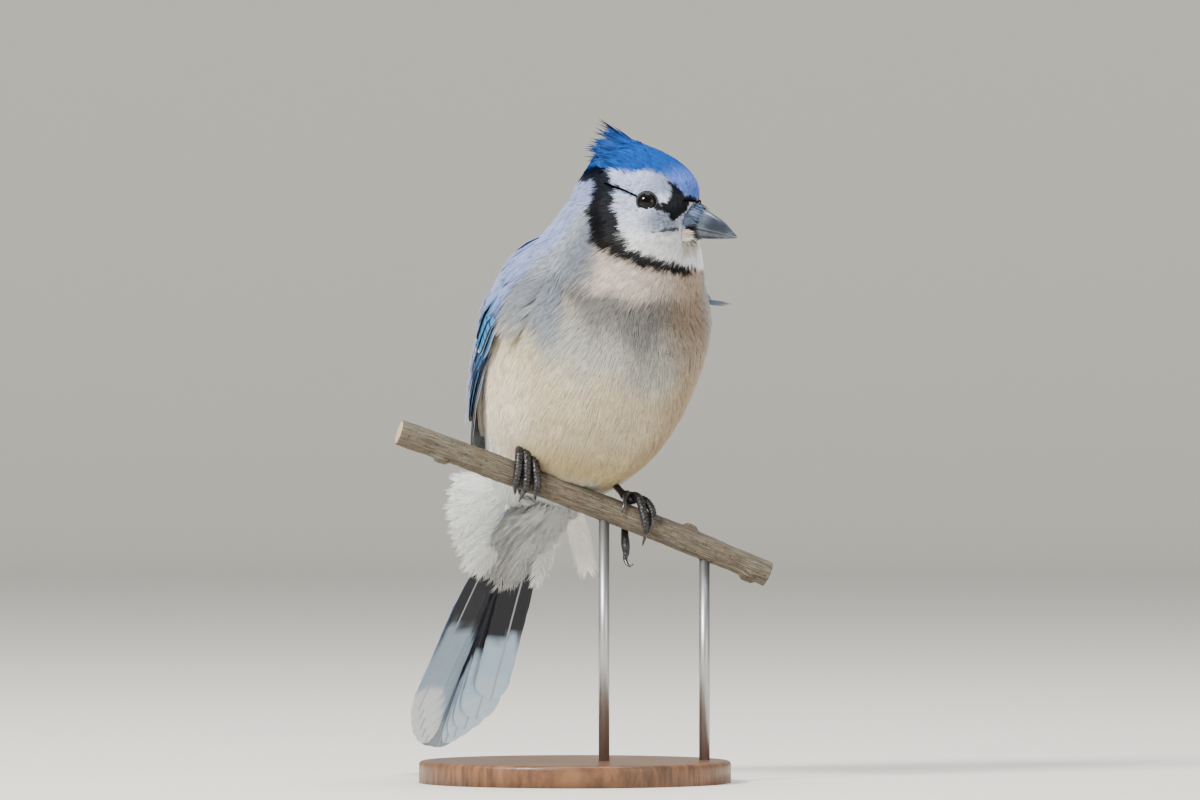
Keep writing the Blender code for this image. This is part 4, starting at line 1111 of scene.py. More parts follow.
def body_weight(points):
    far = np.linalg.norm(points - HEAD_AT, axis=-1)
    _, angle, _, _ = body_place(points)
    return smooth(34, 44, far) * (1.0 - 0.45 * smooth(95, 125, np.abs(angle)))


def body_size(points):
    far = np.linalg.norm(points - HEAD_AT, axis=-1)
    low = smooth(44, 90, far)
    length = 8.5 + 5.0 * low
    half = 1.25 + 0.75 * low
    fine = 0.125 + 0.045 * low
    lift = 0.6 + 0.5 * low
    return length, half, fine, lift


COATS = {name: Coat() for name in REGIONS}
QUICK = 1.0
lay_tufts(COATS, int(7200 * QUICK), head_weight, head_size, 21, 6, 2, 0.16)
lay_tufts(COATS, int(9000 * QUICK), body_weight, body_size, 31, 8, 2, 0.07)
for name, coat in COATS.items():
    coat.build(name, "head" if "crown" in name or "throat" in name else "torso")

# %% [markdown]
# ## Crest
# Long locks overlap from the forehead back, and close to dark points behind the crown.
# Low ones lie over the nape, and the highest stand up.

# %% Crest
# Each level from low to top: root, middle and tip as (forward, up, out).
CREST_LEVELS = (
    (0.0, 2.0, 11.0, 15.2, -9.0, 12.8, 14.4, -18.2, 12.2, 8.2),
    (0.2, 4.0, 13.0, 13.4, -8.5, 15.8, 12.8, -20.5, 16.6, 6.6),
    (0.4, 6.0, 15.0, 11.0, -7.5, 18.8, 10.5, -22.8, 20.8, 5.0),
    (0.6, 7.0, 16.6, 8.5, -6.5, 21.8, 8.0, -21.8, 24.8, 3.6),
    (0.8, 8.0, 17.8, 5.5, -5.0, 24.2, 5.0, -18.8, 28.4, 2.2),
    (1.0, 9.0, 18.4, 1.5, -3.5, 25.2, 1.5, -15.6, 32.4, 0.6),
)

CREST_WISPS = (1.0, 0.99, 0.97, 0.96, 0.9, 0.84, 0.78, 0.72, 0.66, 0.58, 0.5, 0.44, 0.38, 0.3, 0.24, 0.18)


def crown_height(forward, out):
    """How high the head's surface is above a place of the crown."""
    heights = np.linspace(0.5, 23.4, 90)
    front, back, side = columns_at(HEAD_SLICES, heights)
    reach = np.where(forward[:, None] > 0, front, back)
    inside = (forward[:, None] / np.maximum(reach, 0.1)) ** 2 + (out[:, None] / np.maximum(side, 0.1)) ** 2 <= 1
    return np.where(inside, heights, 0.0).max(1)


def crest_place(level, out, t, lift):
    """A point t of the way along the crest's line of a level; out runs from -1 to 1."""
    rows = columns_at(CREST_LEVELS, level)
    marks = ((1 - t) * (1 - 2 * t), 4 * t * (1 - t), t * (2 * t - 1))
    forward, up, side = (sum(m * rows[i + 3 * n] for n, m in enumerate(marks)) for i in range(3))
    side = side * out
    low = np.where(forward > -14, crown_height(forward, side) + 0.35, 0.0)
    return in_head(forward, side, np.maximum(up - 2.2 * (1 - np.abs(out)), low) + lift)


def crest(count, seed):
    """The crest's locks, which overlap from the crown to the tips behind it."""
    made = np.random.default_rng(seed)
    level = made.uniform(0, 1, count) ** 0.9
    out = np.where(made.uniform(size=count) < 0.5, -1, 1) * made.uniform(0.3, 1.0, count) ** 0.5
    first = made.uniform(0.0, 0.62, count)
    last = np.minimum(first + made.uniform(0.4, 0.62, count), 1.0 - made.uniform(0.0, 0.12, count))
    wisp = np.arange(count) < len(CREST_WISPS)
    level = np.where(wisp, np.resize(CREST_WISPS, count), level)
    first = np.where(wisp, 0.5, first)
    last = np.where(wisp, 1.05 + 0.09 * level**6, last)
    start = crest_place(level, out, first, -1.5)
    middle = crest_place(level, out, (first + last) / 2, 0.3 * last**2)
    tip = crest_place(level, out, last, 0.6 * last**2 - 0.5 * (last < 0.7))
    tip = tip + made.normal(0, 0.35, (count, 3))
    way = unit(tip - start)
    up = unit(UP + ASIDE * (out * (2.0 - 1.6 * level))[:, None] - AHEAD * 0.1)
    up = square_to(up, way)
    side = unit(np.cross(way, up))
    colour = mixed(np.tile(CREST_BLUE, (count, 1)), CROWN_BLUE, made.uniform(0, 1.2, count))
    colour = colour * made.uniform(0.6, 1.15, (count, 1)) * np.where(wisp, 0.35, 1.0)[:, None]
    colour = mixed(colour, srgb(40, 60, 96), 0.55 * smooth(0.72, 0.95, last) * made.uniform(0.3, 1.0, count))
    coat = Coat()
    place = np.stack((0.5 + 0.1 * out, 0.93 + 0.03 * level), -1)
    half = np.where(wisp, 0.8, made.uniform(1.0, 1.6, count))
    # The locks' darker roots are partly painted shade under the overlapping locks, partly their own darker bases;
    # the dark tips are the crest's own colour.
    tufts(coat, start, middle, tip, side, up, half, 12, np.where(wisp, 0.25, made.uniform(0.12, 0.17, count)),
          colour, place, 4, 0.85, (0.55, 0.85, 1.05, 0.95, 0.3), 0.34, 0.3, 0.4, seed + 1)
    return coat.build("crest", "head")


crest(int(330 * QUICK), 51)

# %% [markdown]
# ## Face
# Stiff little feathers lie forward over the nostrils, and a few dark bristles stand under the
# chin. Each eye sits in a thin ring of bare skin.

# %% Feathers over the nostrils and under the chin
NASAL_LINES = (
    (0.0, 1.6, 0.4, 31.4), (0.4, 3.4, -2.2, 30.4), (0.75, 4.7, -5.2, 29.3), (1.0, 5.2, -7.6, 27.6),
)


def nasal_feathers(count, seed):
    made = np.random.default_rng(seed)
    level = made.uniform(0, 1, count)
    flank = np.where(np.arange(count) % 2 == 0, 1.0, -1.0)
    out, above, reach = columns_at(NASAL_LINES, level)
    start = in_head(21.4 + made.uniform(-0.8, 0.8, count), out * flank * 1.3, above - 0.7)
    reach = reach - made.uniform(0, 3.0, count)
    tip = in_head(reach, out * flank * 0.86, above - 3.9 - 0.35 * (reach - 28.5))
    way = unit(tip - start)
    up = unit(ASIDE * (flank * (0.3 + 0.8 * level))[:, None] + UP * (1.0 - 0.5 * level)[:, None])
    up = square_to(up, way)
    middle = (start + tip) / 2 + up * 0.75
    colour = mixed(np.tile(NASAL_BLUE, (count, 1)), FOREHEAD, made.uniform(-0.6, 0.3, count))
    colour = colour * np.where(made.uniform(size=count) < 0.35, 0.2, 1.0)[:, None]
    coat = Coat()
    tufts(coat, start, middle, tip, unit(np.cross(way, up)), up, 0.62, 8, 0.085,
          colour, np.stack((0.62 + 0.04 * flank, 0.8 + 0.05 * level), -1),
          3, 0.75, (0.6, 1.1, 0.7), 0.3, seed=seed)
    return coat.build("nasal_feathers", "head")


def rictal_feathers(count, seed):
    """Short tufts that lie forward over the bill's base, with a gap at the mouth."""
    made = np.random.default_rng(seed)
    flank = np.where(np.arange(count) % 2 == 0, 1.0, -1.0)
    upper = made.uniform(size=count) < 0.5
    above = np.where(upper, made.uniform(-10.2, -6.0, count), made.uniform(-16.6, -12.9, count))
    low = above < -12
    start = in_head(20.2 + made.uniform(-0.6, 0.6, count), 7.4 * flank, above)
    tip = in_head(26.4 + made.uniform(-1.2, 1.6, count) - 1.0 * low, 5.5 * flank, above - 0.5 + 0.6 * low)
    way = unit(tip - start)
    up = np.broadcast_to(ASIDE, way.shape) * flank[:, None]
    up = square_to(up, way)
    middle = (start + tip) / 2 + up * 0.9
    colour = np.where(low[:, None], CHIN_GREY, NASAL_BLUE * 0.7) * made.uniform(0.5, 1.1, (count, 1))
    coat = Coat()
    tufts(coat, start, middle, tip, unit(np.cross(way, up)), up, 0.8, 7, 0.085,
          colour, np.stack((0.62 + 0.04 * flank, 0.78 - 0.01 * above), -1), 3, 0.5, (0.6, 1.0), 0.3, seed=seed)
    return coat.build("rictal_feathers", "head")


def chin_bristles(count, seed):
    made = np.random.default_rng(seed)
    out = made.uniform(-4.5, 4.5, count)
    start = in_head(made.uniform(20.5, 24.5, count), out, made.uniform(-18.5, -15.8, count))
    reach = made.uniform(3.0, 7.0, count)
    way = AHEAD * made.uniform(0.6, 1.3, (count, 1)) - UP * made.uniform(0.6, 1.1, (count, 1))
    way = unit(way + ASIDE * (out * 0.05)[:, None])
    middle = start + way * (reach * 0.5)[:, None]
    tip = start + way * reach[:, None] - UP * (reach * 0.16)[:, None]
    side = unit(np.cross(way, UP))
    coat = Coat()
    tufts(coat, start, middle, tip, side, unit(np.cross(side, way)), 0.25, 2, 0.075,
          np.tile(srgb(58, 52, 46), (count, 1)), np.tile((0.62, 0.74), (count, 1)),
          3, 0.2, (1.0, 1.0), 0.4, seed=seed)
    return coat.build("chin_bristles", "head")


nasal_feathers(int(170 * QUICK), 61)
rictal_feathers(int(90 * QUICK), 62)
chin_bristles(30, 63)

# %% Dark lines of the face
CHEEK_LINE = ((20.0, 9.5, -11.8, 0.5), (16.9, 13.9, -12.6, 0.5), (10.0, 17.3, -13.6, 0.4),
              (4.0, 19.4, -12.6, 0.3), (0.0, 20.3, -10.0, 0.2))


def face_lines(seed):
    """Short black tufts in single file along the lines behind the eye and the mouth."""
    coat = Coat()
    made = np.random.default_rng(seed)
    for line, steps, weight in ((EYE_LINE, 44, 1.0), (CHEEK_LINE, 40, 0.75), (FOREHEAD_LINE, 26, 1.0)):
        rows = np.asarray(line, float)
        t = np.linspace(0, len(rows) - 1.001, steps) + made.uniform(-0.05, 0.05, steps)
        t = np.clip(t, 0, len(rows) - 1.001)
        f, r, u, _ = np.moveaxis(curve_through(rows, t), -1, 0)
        ahead = np.clip(t + 0.5, 0, len(rows) - 1)
        f2, r2, u2, _ = np.moveaxis(curve_through(rows, ahead), -1, 0)
        for flank in (1, -1):
            out = unit(ASIDE * flank + UP * 0.1)
            start = in_head(f, r * flank, u) - out * 0.5
            end = in_head(f2, r2 * flank, u2 + made.normal(0, 0.25, steps)) + out * 0.7
            middle = (start + end) / 2 + out * 0.6
            way = unit(end - start + AHEAD * -0.01)
            up = square_to(out, way)
            colour = np.tile(mixed(FACE_GREY[None], BLACK, np.array([weight]))[0], (steps, 1))
            place = np.tile((0.3 + 0.4 * (flank > 0), 0.8), (steps, 1))
            tufts(coat, start, middle, end, unit(np.cross(way, up)), up, 0.3, 4, 0.1,
                  colour, place, 2, seed=seed + steps)
    return coat.build("face_lines", "head")


face_lines(64)

# %% Eyes and lids


def as_object(name, bm, material, slot, *nodes):
    """A bmesh in metres as an object that rides on the model and stands for some solids."""
    mesh = bpy.data.meshes.new(name)
    bm.to_mesh(mesh)
    bm.free()
    mesh.polygons.foreach_set("use_smooth", np.ones(len(mesh.polygons), bool))
    mesh.materials.append(material)
    made = bpy.data.objects.new(name, mesh)
    bpy.context.scene.collection.objects.link(made)
    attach(made, "root")
    if nodes:
        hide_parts(*nodes)
    return made


def eye_frame(flank):
    """An eye's centre, the way it looks, and the directions across and up its front."""
    centre = in_head(EYE_PLACE[0], EYE_PLACE[1] * flank, EYE_PLACE[2])
    out = unit(ASIDE * flank * 0.95 + AHEAD * 0.3 + UP * 0.04)
    across = unit(np.cross(out, UP))
    return centre, out, across, unit(np.cross(across, out))


def eye(name, flank):
    centre, out, across, rise = eye_frame(flank)

    def place(share, angle):
        lift = math.pi * (share - 0.5)
        level = np.cos(lift)
        return centre + EYE_RADIUS * (
            across * (np.cos(angle) * level)[:, None]
            + rise * (np.sin(angle) * level)[:, None]
            + out * np.sin(lift)[:, None]
        )

    return as_object(name, mapped_sphere(48, 32, place), eye_paint(name, centre, out), "eye", name)


LID_TUBE = 0.42
LID_OVAL = 0.1


def lid(name, flank):
    """A ring of wrinkled skin round an eye, a little lower than it is wide."""
    centre, out, across, rise = eye_frame(flank)
    depth = math.sqrt(EYE_RADIUS**2 - LID_RADIUS**2)
    around = np.linspace(0, 2 * math.pi, 73)[:-1]
    turn = np.linspace(0, 2 * math.pi, 11)[:-1]
    ring, tube = np.meshgrid(around, turn, indexing="ij")
    ring, tube = ring.ravel(), tube.ravel()
    wide = LID_TUBE * (1 + 0.12 * np.sin(ring * 17) + 0.25 * np.sin(ring + 0.6))
    reach = LID_RADIUS + 0.3 + wide * np.cos(tube)
    points = (
        centre
        + out * (depth + 0.1 + wide * np.sin(tube) * 0.9)[:, None]
        + across * (reach * np.cos(ring))[:, None]
        + rise * (reach * np.sin(ring) * (1 - LID_OVAL))[:, None]
    )
    rows, columns = 72, 10
    faces = [
        (r * columns + c, ((r + 1) % rows) * columns + c, ((r + 1) % rows) * columns + (c + 1) % columns,
         r * columns + (c + 1) % columns)
        for r in range(rows) for c in range(columns)
    ]
    return mesh_piece(name, points, np.array(faces), LID_SKIN)


for name, flank in (("eye_right", 1), ("eye_left", -1)):
    eye(name, flank)
    lid(name.replace("eye", "lid"), flank)

# %% [markdown]
# ## Bill
# Two half-oval lofts meet along the mouth. The slices are those of the solids, with more rings.

# %% Bill
BILL_SLICES = (
    (19.0, -3.4, -11.3, -15.0, 4.6), (22.5, -2.8, -11.5, -15.4, 5.2), (26.0, -3.2, -12.0, -15.9, 5.1),
    (30.0, -4.8, -12.8, -16.1, 4.4), (33.5, -6.9, -13.5, -16.2, 3.6), (37.0, -9.5, -14.2, -16.2, 2.6),
    (40.2, -12.9, -14.9, -16.0, 1.4), (42.0, -14.9, -15.3, -15.8, 0.5),
)
MOUTH_GAP = 0.16


def bill_half(name, upper):
    def place(share, angle):
        t = np.clip((share - 0.02) / 0.96, 0, 1) * (len(BILL_SLICES) - 1)
        forward, ridge, mouth, keel, side = np.moveaxis(curve_through(BILL_SLICES, t), -1, 0)
        edge = mouth + MOUTH_GAP if upper else mouth - MOUTH_GAP
        reach = np.maximum(ridge - edge if upper else edge - keel, 0.12)
        open_end = np.where((share > 0.001) & (share < 0.999), 1.0, 0.0)
        squeeze = np.abs(np.cos(angle)) ** 0.9 * np.sign(np.cos(angle))
        right = squeeze * np.maximum(side, 0.3) * open_end * (1.0 if upper else 0.92)
        up = np.maximum(np.sin(angle), 0.0) * reach * open_end
        under = np.minimum(np.sin(angle), 0.0) * 0.25 * open_end
        tall = up + under * np.minimum(reach, 1.0) * 0.3
        return in_head(forward, right, edge + tall if upper else edge - tall)

    return as_object(name, mapped_sphere(48, 44, place), BILL, "bill", name)


bill_half("bill_upper", True)
bill_half("bill_lower", False)

# %% [markdown]
# ## Vanes
# A vane is a thin plate on a midline, wider towards its middle and round at its tip.
# Both faces have the same triangles. The upper and lower face have their own colours.

# %% Vane builder
VANE_ROWS = 34
VANE_COLUMNS = 11
CELLS = 9


def vane_faces():
    rows, columns = VANE_ROWS, VANE_COLUMNS
    size = rows * columns
    faces = []
    for r in range(rows - 1):
        for c in range(columns - 1):
            a = r * columns + c
            b, d, e = a + 1, a + columns, a + columns + 1
            faces += [(a, b, e), (a, e, d), (size + a, size + e, size + b), (size + a, size + d, size + e)]
    rim = list(range(columns))
    rim += [r * columns + columns - 1 for r in range(1, rows)]
    rim += [(rows - 1) * columns + c for c in range(columns - 2, -1, -1)]
    rim += [r * columns for r in range(rows - 2, 0, -1)]
    for a, b in zip(rim, rim[1:] + rim[:1]):
        faces += [(b, a, size + a), (b, size + a, size + b)]
    return np.array(faces)


class Vanes:
    """Gathers vanes for one piece."""

    def __init__(self):
        self.verts, self.tint, self.map, self.bake = [], [], [], []
        self.barred, self.gap, self.shaft = [], [], []
        self.template = vane_faces()

    def add(self, line, length, inner, outer, colours, tip=0.82, blunt=2.0, thick=0.32, camber=0.5,
            bars=(0.0, 4.0), shaft=(BLACK, BLACK), base=0.5, seed=0):
        """line(t) gives midline points with the directions across and up.

        colours(t, x) gives the upper and the lower face's colour, with x from -1 to 1.
        """
        made = np.random.default_rng(seed)
        t = np.sin(np.linspace(0, 1, VANE_ROWS) * math.pi / 2) ** 1.1
        x = np.linspace(-1, 1, VANE_COLUMNS)
        centre, across, up = line(t)
        start = np.minimum(1.0, base + (1 - base) * t / 0.45)
        end = np.clip((t - tip) / (1 - tip), 0, 1)
        outline = start * np.maximum(1 - end**blunt, 0.0) ** (1 / blunt)
        outline = outline * (1 + 0.018 * np.sin(t * 60 + made.uniform(0, 6))) + 0.006
        half = np.where(x[None] < 0, inner, outer) * outline[:, None]
        lateral = half * x[None]
        wave = 0.05 * np.sin(t * 23 + made.uniform(0, 6))[:, None]
        drop = camber * x[None] ** 2 * outline[:, None] + wave * x[None]
        top = centre[:, None] + across[:, None] * lateral[..., None] - up[:, None] * drop[..., None]
        body = thick * (1 - 0.45 * np.abs(x[None])) * (1 - 0.5 * t[:, None])
        low = top - up[:, None] * body[..., None]
        tt, xx = np.broadcast_arrays(t[:, None], x[None])
        upper, lower = colours(tt.ravel(), xx.ravel())
        number = len(self.verts)
        cell = np.array((number % CELLS, number // CELLS))
        self.verts.append(np.concatenate((top.reshape(-1, 3), low.reshape(-1, 3))))
        self.tint.append(np.concatenate((upper, lower)))
        flat = np.stack((lateral, tt * length), -1).reshape(-1, 2)
        self.map.append(np.concatenate((flat, flat)))
        grid = np.stack(((xx + 1) / 2 * 0.42 + 0.03, tt * 0.92 + 0.04), -1).reshape(-1, 2)
        self.bake.append((np.concatenate((grid, grid + (0.5, 0.0))) + cell) / CELLS)
        count = VANE_ROWS * VANE_COLUMNS
        self.barred.append(np.repeat((bars[0], 0.0), count))
        self.gap.append(np.full(2 * count, bars[1]))
        self.shaft.append(np.concatenate((np.tile(shaft[0], (count, 1)), np.tile(shaft[1], (count, 1)))))

    def build(self, name, slot, *nodes):
        size = 2 * VANE_ROWS * VANE_COLUMNS
        faces = np.concatenate([outward(verts, self.template) + size * n for n, verts in enumerate(self.verts)])
        values = {"barred": np.concatenate(self.barred), "bar_gap": np.concatenate(self.gap)}
        values["shaft"] = np.concatenate(self.shaft)
        made = mesh_piece(
            name, np.concatenate(self.verts), faces, VANE, np.concatenate(self.tint),
            {"OFBake": np.concatenate(self.bake), "Vane": np.concatenate(self.map)}, values)
        if nodes:
            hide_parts(*nodes)
        print(f"{name}: {len(self.verts)} vanes, {len(faces)} triangles")
        return made


# %% [markdown]
# ## Wings
# A folded wing is tiers of vanes on the wing's surface. Each tier runs from its lowest feather
# to its highest, which lies over the others.

# %% Wings
WING_BLUE = srgb(10, 78, 132)
COVERT_BLUE = srgb(50, 126, 184)
SHOULDER_BLUE = srgb(110, 132, 186)
DUSKY = srgb(28, 28, 29)
OLIVE_DARK = srgb(36, 34, 24)
PALE_EDGE = srgb(184, 190, 196)
PALE_TIP = srgb(228, 232, 238)
UNDER_WING = srgb(118, 122, 130)
SHINGLE = 0.16


def primary_look(t, x):
    colour = mixed(np.tile(OLIVE_DARK, (len(t), 1)), DUSKY, t)
    colour = mixed(colour, WING_BLUE, smooth(0.05, 0.5, x) * smooth(0.75, 0.45, t) * 0.8)
    colour = mixed(colour, PALE_EDGE, smooth(0.78, 0.95, x) * 0.8)
    return colour, np.tile(UNDER_WING, (len(t), 1))


def blue_look(base, tip_from, tip_share=0.9):
    def look(t, x):
        colour = np.tile(base, (len(t), 1)) * (0.9 + 0.12 * x)[:, None]
        colour = mixed(colour, PALE_TIP, smooth(tip_from, tip_from + 0.06, t + 0.03 * np.abs(x)) * tip_share)
        return colour, np.tile(UNDER_WING, (len(t), 1))

    return look


def alula_look(t, x):
    colour = mixed(np.tile(DUSKY, (len(t), 1)), COVERT_BLUE, smooth(0.1, 0.7, x) * 0.7)
    return mixed(colour, PALE_EDGE, smooth(0.8, 0.95, x) * 0.7), np.tile(UNDER_WING, (len(t), 1))


# Each tier: count, then root and tip as (along, angle) of its lowest feather and of its
# highest, height over the wing's surface, half-width, share where the tip starts, bars, look.
WING_TIERS = (
    ("primary", 9, (86, 93), (22, 100), (80, 108), (-5, 131), -0.6, 4.4, 0.72, (0.0, 4.0), primary_look),
    ("secondary", 8, (84, 97), (36, 103), (78, 134), (24, 146), 0.4, 4.8, 0.86, (0.9, 4.2),
     blue_look(WING_BLUE, 0.93)),
    ("tertial", 4, (84, 132), (32, 144), (88, 154), (44, 164), 1.3, 5.6, 0.84, (0.9, 4.4),
     blue_look(WING_BLUE, 0.94)),
    ("alula", 3, (104, 87), (72, 88), (101, 95), (66, 98), 1.0, 2.7, 0.7, (0.0, 4.0), alula_look),
    ("primary_covert", 5, (98, 90), (64, 92), (96, 104), (62, 110), 0.9, 3.0, 0.7, (0.5, 3.2),
     blue_look(WING_BLUE, 1.2)),
    ("greater_covert", 9, (104, 93), (70, 97), (102, 144), (70, 153), 1.4, 4.3, 0.82, (0.9, 3.6),
     blue_look(COVERT_BLUE, 0.93)),
    ("median_covert", 8, (114, 98), (90, 97), (113, 140), (91, 151), 1.9, 4.2, 0.7, (0.0, 4.0),
     blue_look(COVERT_BLUE, 1.2)),
    ("lesser_covert", 8, (121, 103), (102, 100), (120, 136), (102, 148), 2.1, 4.0, 0.66, (0.0, 4.0),
     blue_look(SHOULDER_BLUE, 1.2)),
)


def wing(name, flank, seed):
    vanes = Vanes()
    made = np.random.default_rng(seed)
    for _, count, root_a, tip_a, root_b, tip_b, height, half, tip, bars, look in WING_TIERS:
        for n in range(count):
            u = n / (count - 1)
            start = np.array(root_a) + (np.array(root_b) - root_a) * u
            end = np.array(tip_a) + (np.array(tip_b) - tip_a) * u + made.normal(0, (0.9, 0.5))
            lift = height + 0.25 * math.sin(n * 2.4)

            def on_shell(t, start=start, end=end, lift=lift):
                along = start[0] + (end[0] - start[0]) * t
                angle = start[1] + (end[1] - start[1]) * t
                return shell_point(along, angle * flank, lift + 0.5 * t - 5.0 * np.clip(1 - t, 0, 1) ** 3)

            def line(t, start=start, end=end, on_shell=on_shell):
                point = on_shell(t)
                way = unit(on_shell(t + 0.03) - on_shell(t - 0.03))
                along = start[0] + (end[0] - start[0]) * t
                angle = start[1] + (end[1] - start[1]) * t
                breast = shell_point(along, (angle - 2) * flank) - shell_point(along, (angle + 2) * flank)
                up = unit(np.cross(way, breast))
                out = point - on_axis(along)
                up = up * np.where(dot(up, out) > 0, 1.0, -1.0)[:, None]
                across = unit(np.cross(up, way))
                across = across * np.where(dot(across, breast) > 0, 1.0, -1.0)[:, None]
                return point, unit(across + up * SHINGLE), unit(up - across * SHINGLE)

            ends = on_shell(np.array((0.0, 1.0)))
            length = float(np.linalg.norm(ends[1] - ends[0]))
            vanes.add(line, length, half, half, look, tip, 2.0, 0.34, 0.35, bars,
                      (BLACK, PALE_EDGE), 0.6, seed + n)
    return vanes.build(name, "wing", name)


wing("wing_right", 1, 71)
wing("wing_left", -1, 72)

# %% [markdown]
# ## Tail
# Six feathers on each side hang from the root of the tail, the middle pair on top.
# From below they are dark near the root, with painted light that makes them paler further out,
# and white tips of their own.

# %% Tail
TAIL_LENGTHS = (134.0, 131.5, 127.5, 122.0, 115.0, 106.0)
TAIL_HALF_WIDTH = 9.0
TAIL_BLUE = srgb(46, 118, 206)
TAIL_DARK = srgb(30, 32, 42)
TAIL_LIT_PALE = srgb(158, 182, 204)


def tail_look(number, flank):
    """Blue with bars above; dark and then pale below, the pale part being painted light, and paler on the outer
    feathers.
    """

    def look(t, x):
        upper = np.tile(TAIL_BLUE, (len(t), 1))
        if number > 1:
            upper = mixed(upper, PALE_TIP, smooth(0.9 - 0.012 * number, 0.95 - 0.012 * number, t))
        lower = np.tile(TAIL_DARK, (len(t), 1))
        # The two sides differ below in where the pale part starts, how bright it is and how white the tips are:
        # painted light and shade.
        late = 0.01 if flank > 0 else 0.1
        edge = 0.55 + late + 0.03 * (number < 3) - 0.03 * x
        pale = smooth(0.0, 0.05, t - edge + 0.012 * np.sin(x * 5))
        lower = mixed(lower, TAIL_LIT_PALE if flank > 0 else TAIL_LIT_PALE * 1.5,
                      pale * (0.25 if number == 1 else 0.95))
        white = smooth(0.86, 0.9, t - 0.03 * np.abs(x)) * (0.2 if number == 1 else 0.62 + 0.32 * flank)
        lower = mixed(lower, PALE_TIP, white)
        lower = mixed(lower, TAIL_DARK, smooth(0.55, 0.75, x) * smooth(0.78, 0.62, t) * 0.8)
        return upper, lower

    return look


def rectrix(vanes, flank, number):
    length = TAIL_LENGTHS[number - 1] + (3.0 * flank if number == 6 else 0.0)
    root_out = 0.8 + 1.25 * (number - 1)
    tip_out = 1.8 + (3.2 if flank > 0 else 2.6) * (number - 1)
    level = 2.6 - number
    if number == 1:
        level += flank / 2

    def line(t):
        out = root_out + (tip_out - root_out) * t
        point = in_tail(4 + (length - 4) * t, flank * out,
                        level - 0.006 * out**2 + 0.35 * np.sin(t * 5 + number))
        slope = (-0.012 * out)[:, None]
        across = unit(TAIL_SIDE * flank + TAIL_TOP * slope)
        return point, across, unit(TAIL_TOP - TAIL_SIDE * flank * slope)

    inner = TAIL_HALF_WIDTH if number == 1 else min(TAIL_HALF_WIDTH, root_out + 0.55 * (tip_out - root_out) - 0.1)
    outer = 6.0 if number == 6 else TAIL_HALF_WIDTH * 0.86
    vanes.add(line, length, inner, outer, tail_look(number, flank), 0.9, 2.2, 0.4, 0.3, (0.85, 5.2),
              (BLACK, srgb(176, 182, 190)), 0.35, number)


def make_tail():
    vanes = Vanes()
    for flank in (1, -1):
        for number in range(1, 7):
            rectrix(vanes, flank, number)
    for n in range(9):
        u = 2 * n / 8 - 1
        length = 46 - 8 * u * u + 3 * math.sin(n * 2.6)

        def line(t, u=u, length=length):
            height = 5.6 * (1 - t) ** 1.3 + 2.4 + 0.5 * (n % 2)
            point = in_tail(2 + length * t, 8.0 * u * (1 - 0.2 * t), height)
            return point, np.tile(TAIL_SIDE, (len(t), 1)), np.tile(TAIL_TOP, (len(t), 1))

        vanes.add(line, length, 4.6, 4.6, blue_look(RUMP_BLUE, 1.2), 0.6, 1.8, 0.3, 0.9, (0.0, 4.0),
                  (BLACK, BLACK), 0.6, n)
    return vanes.build("tail_feathers", "tail", "tail")


make_tail()

# %% [markdown]
# ## Loose plumes
# A plume has a shaft and soft barbs on both sides. Plumes make the white feathers under the
# tail, those that stand out behind the branch, and the pale fringe over the wings.

# %% Plumes


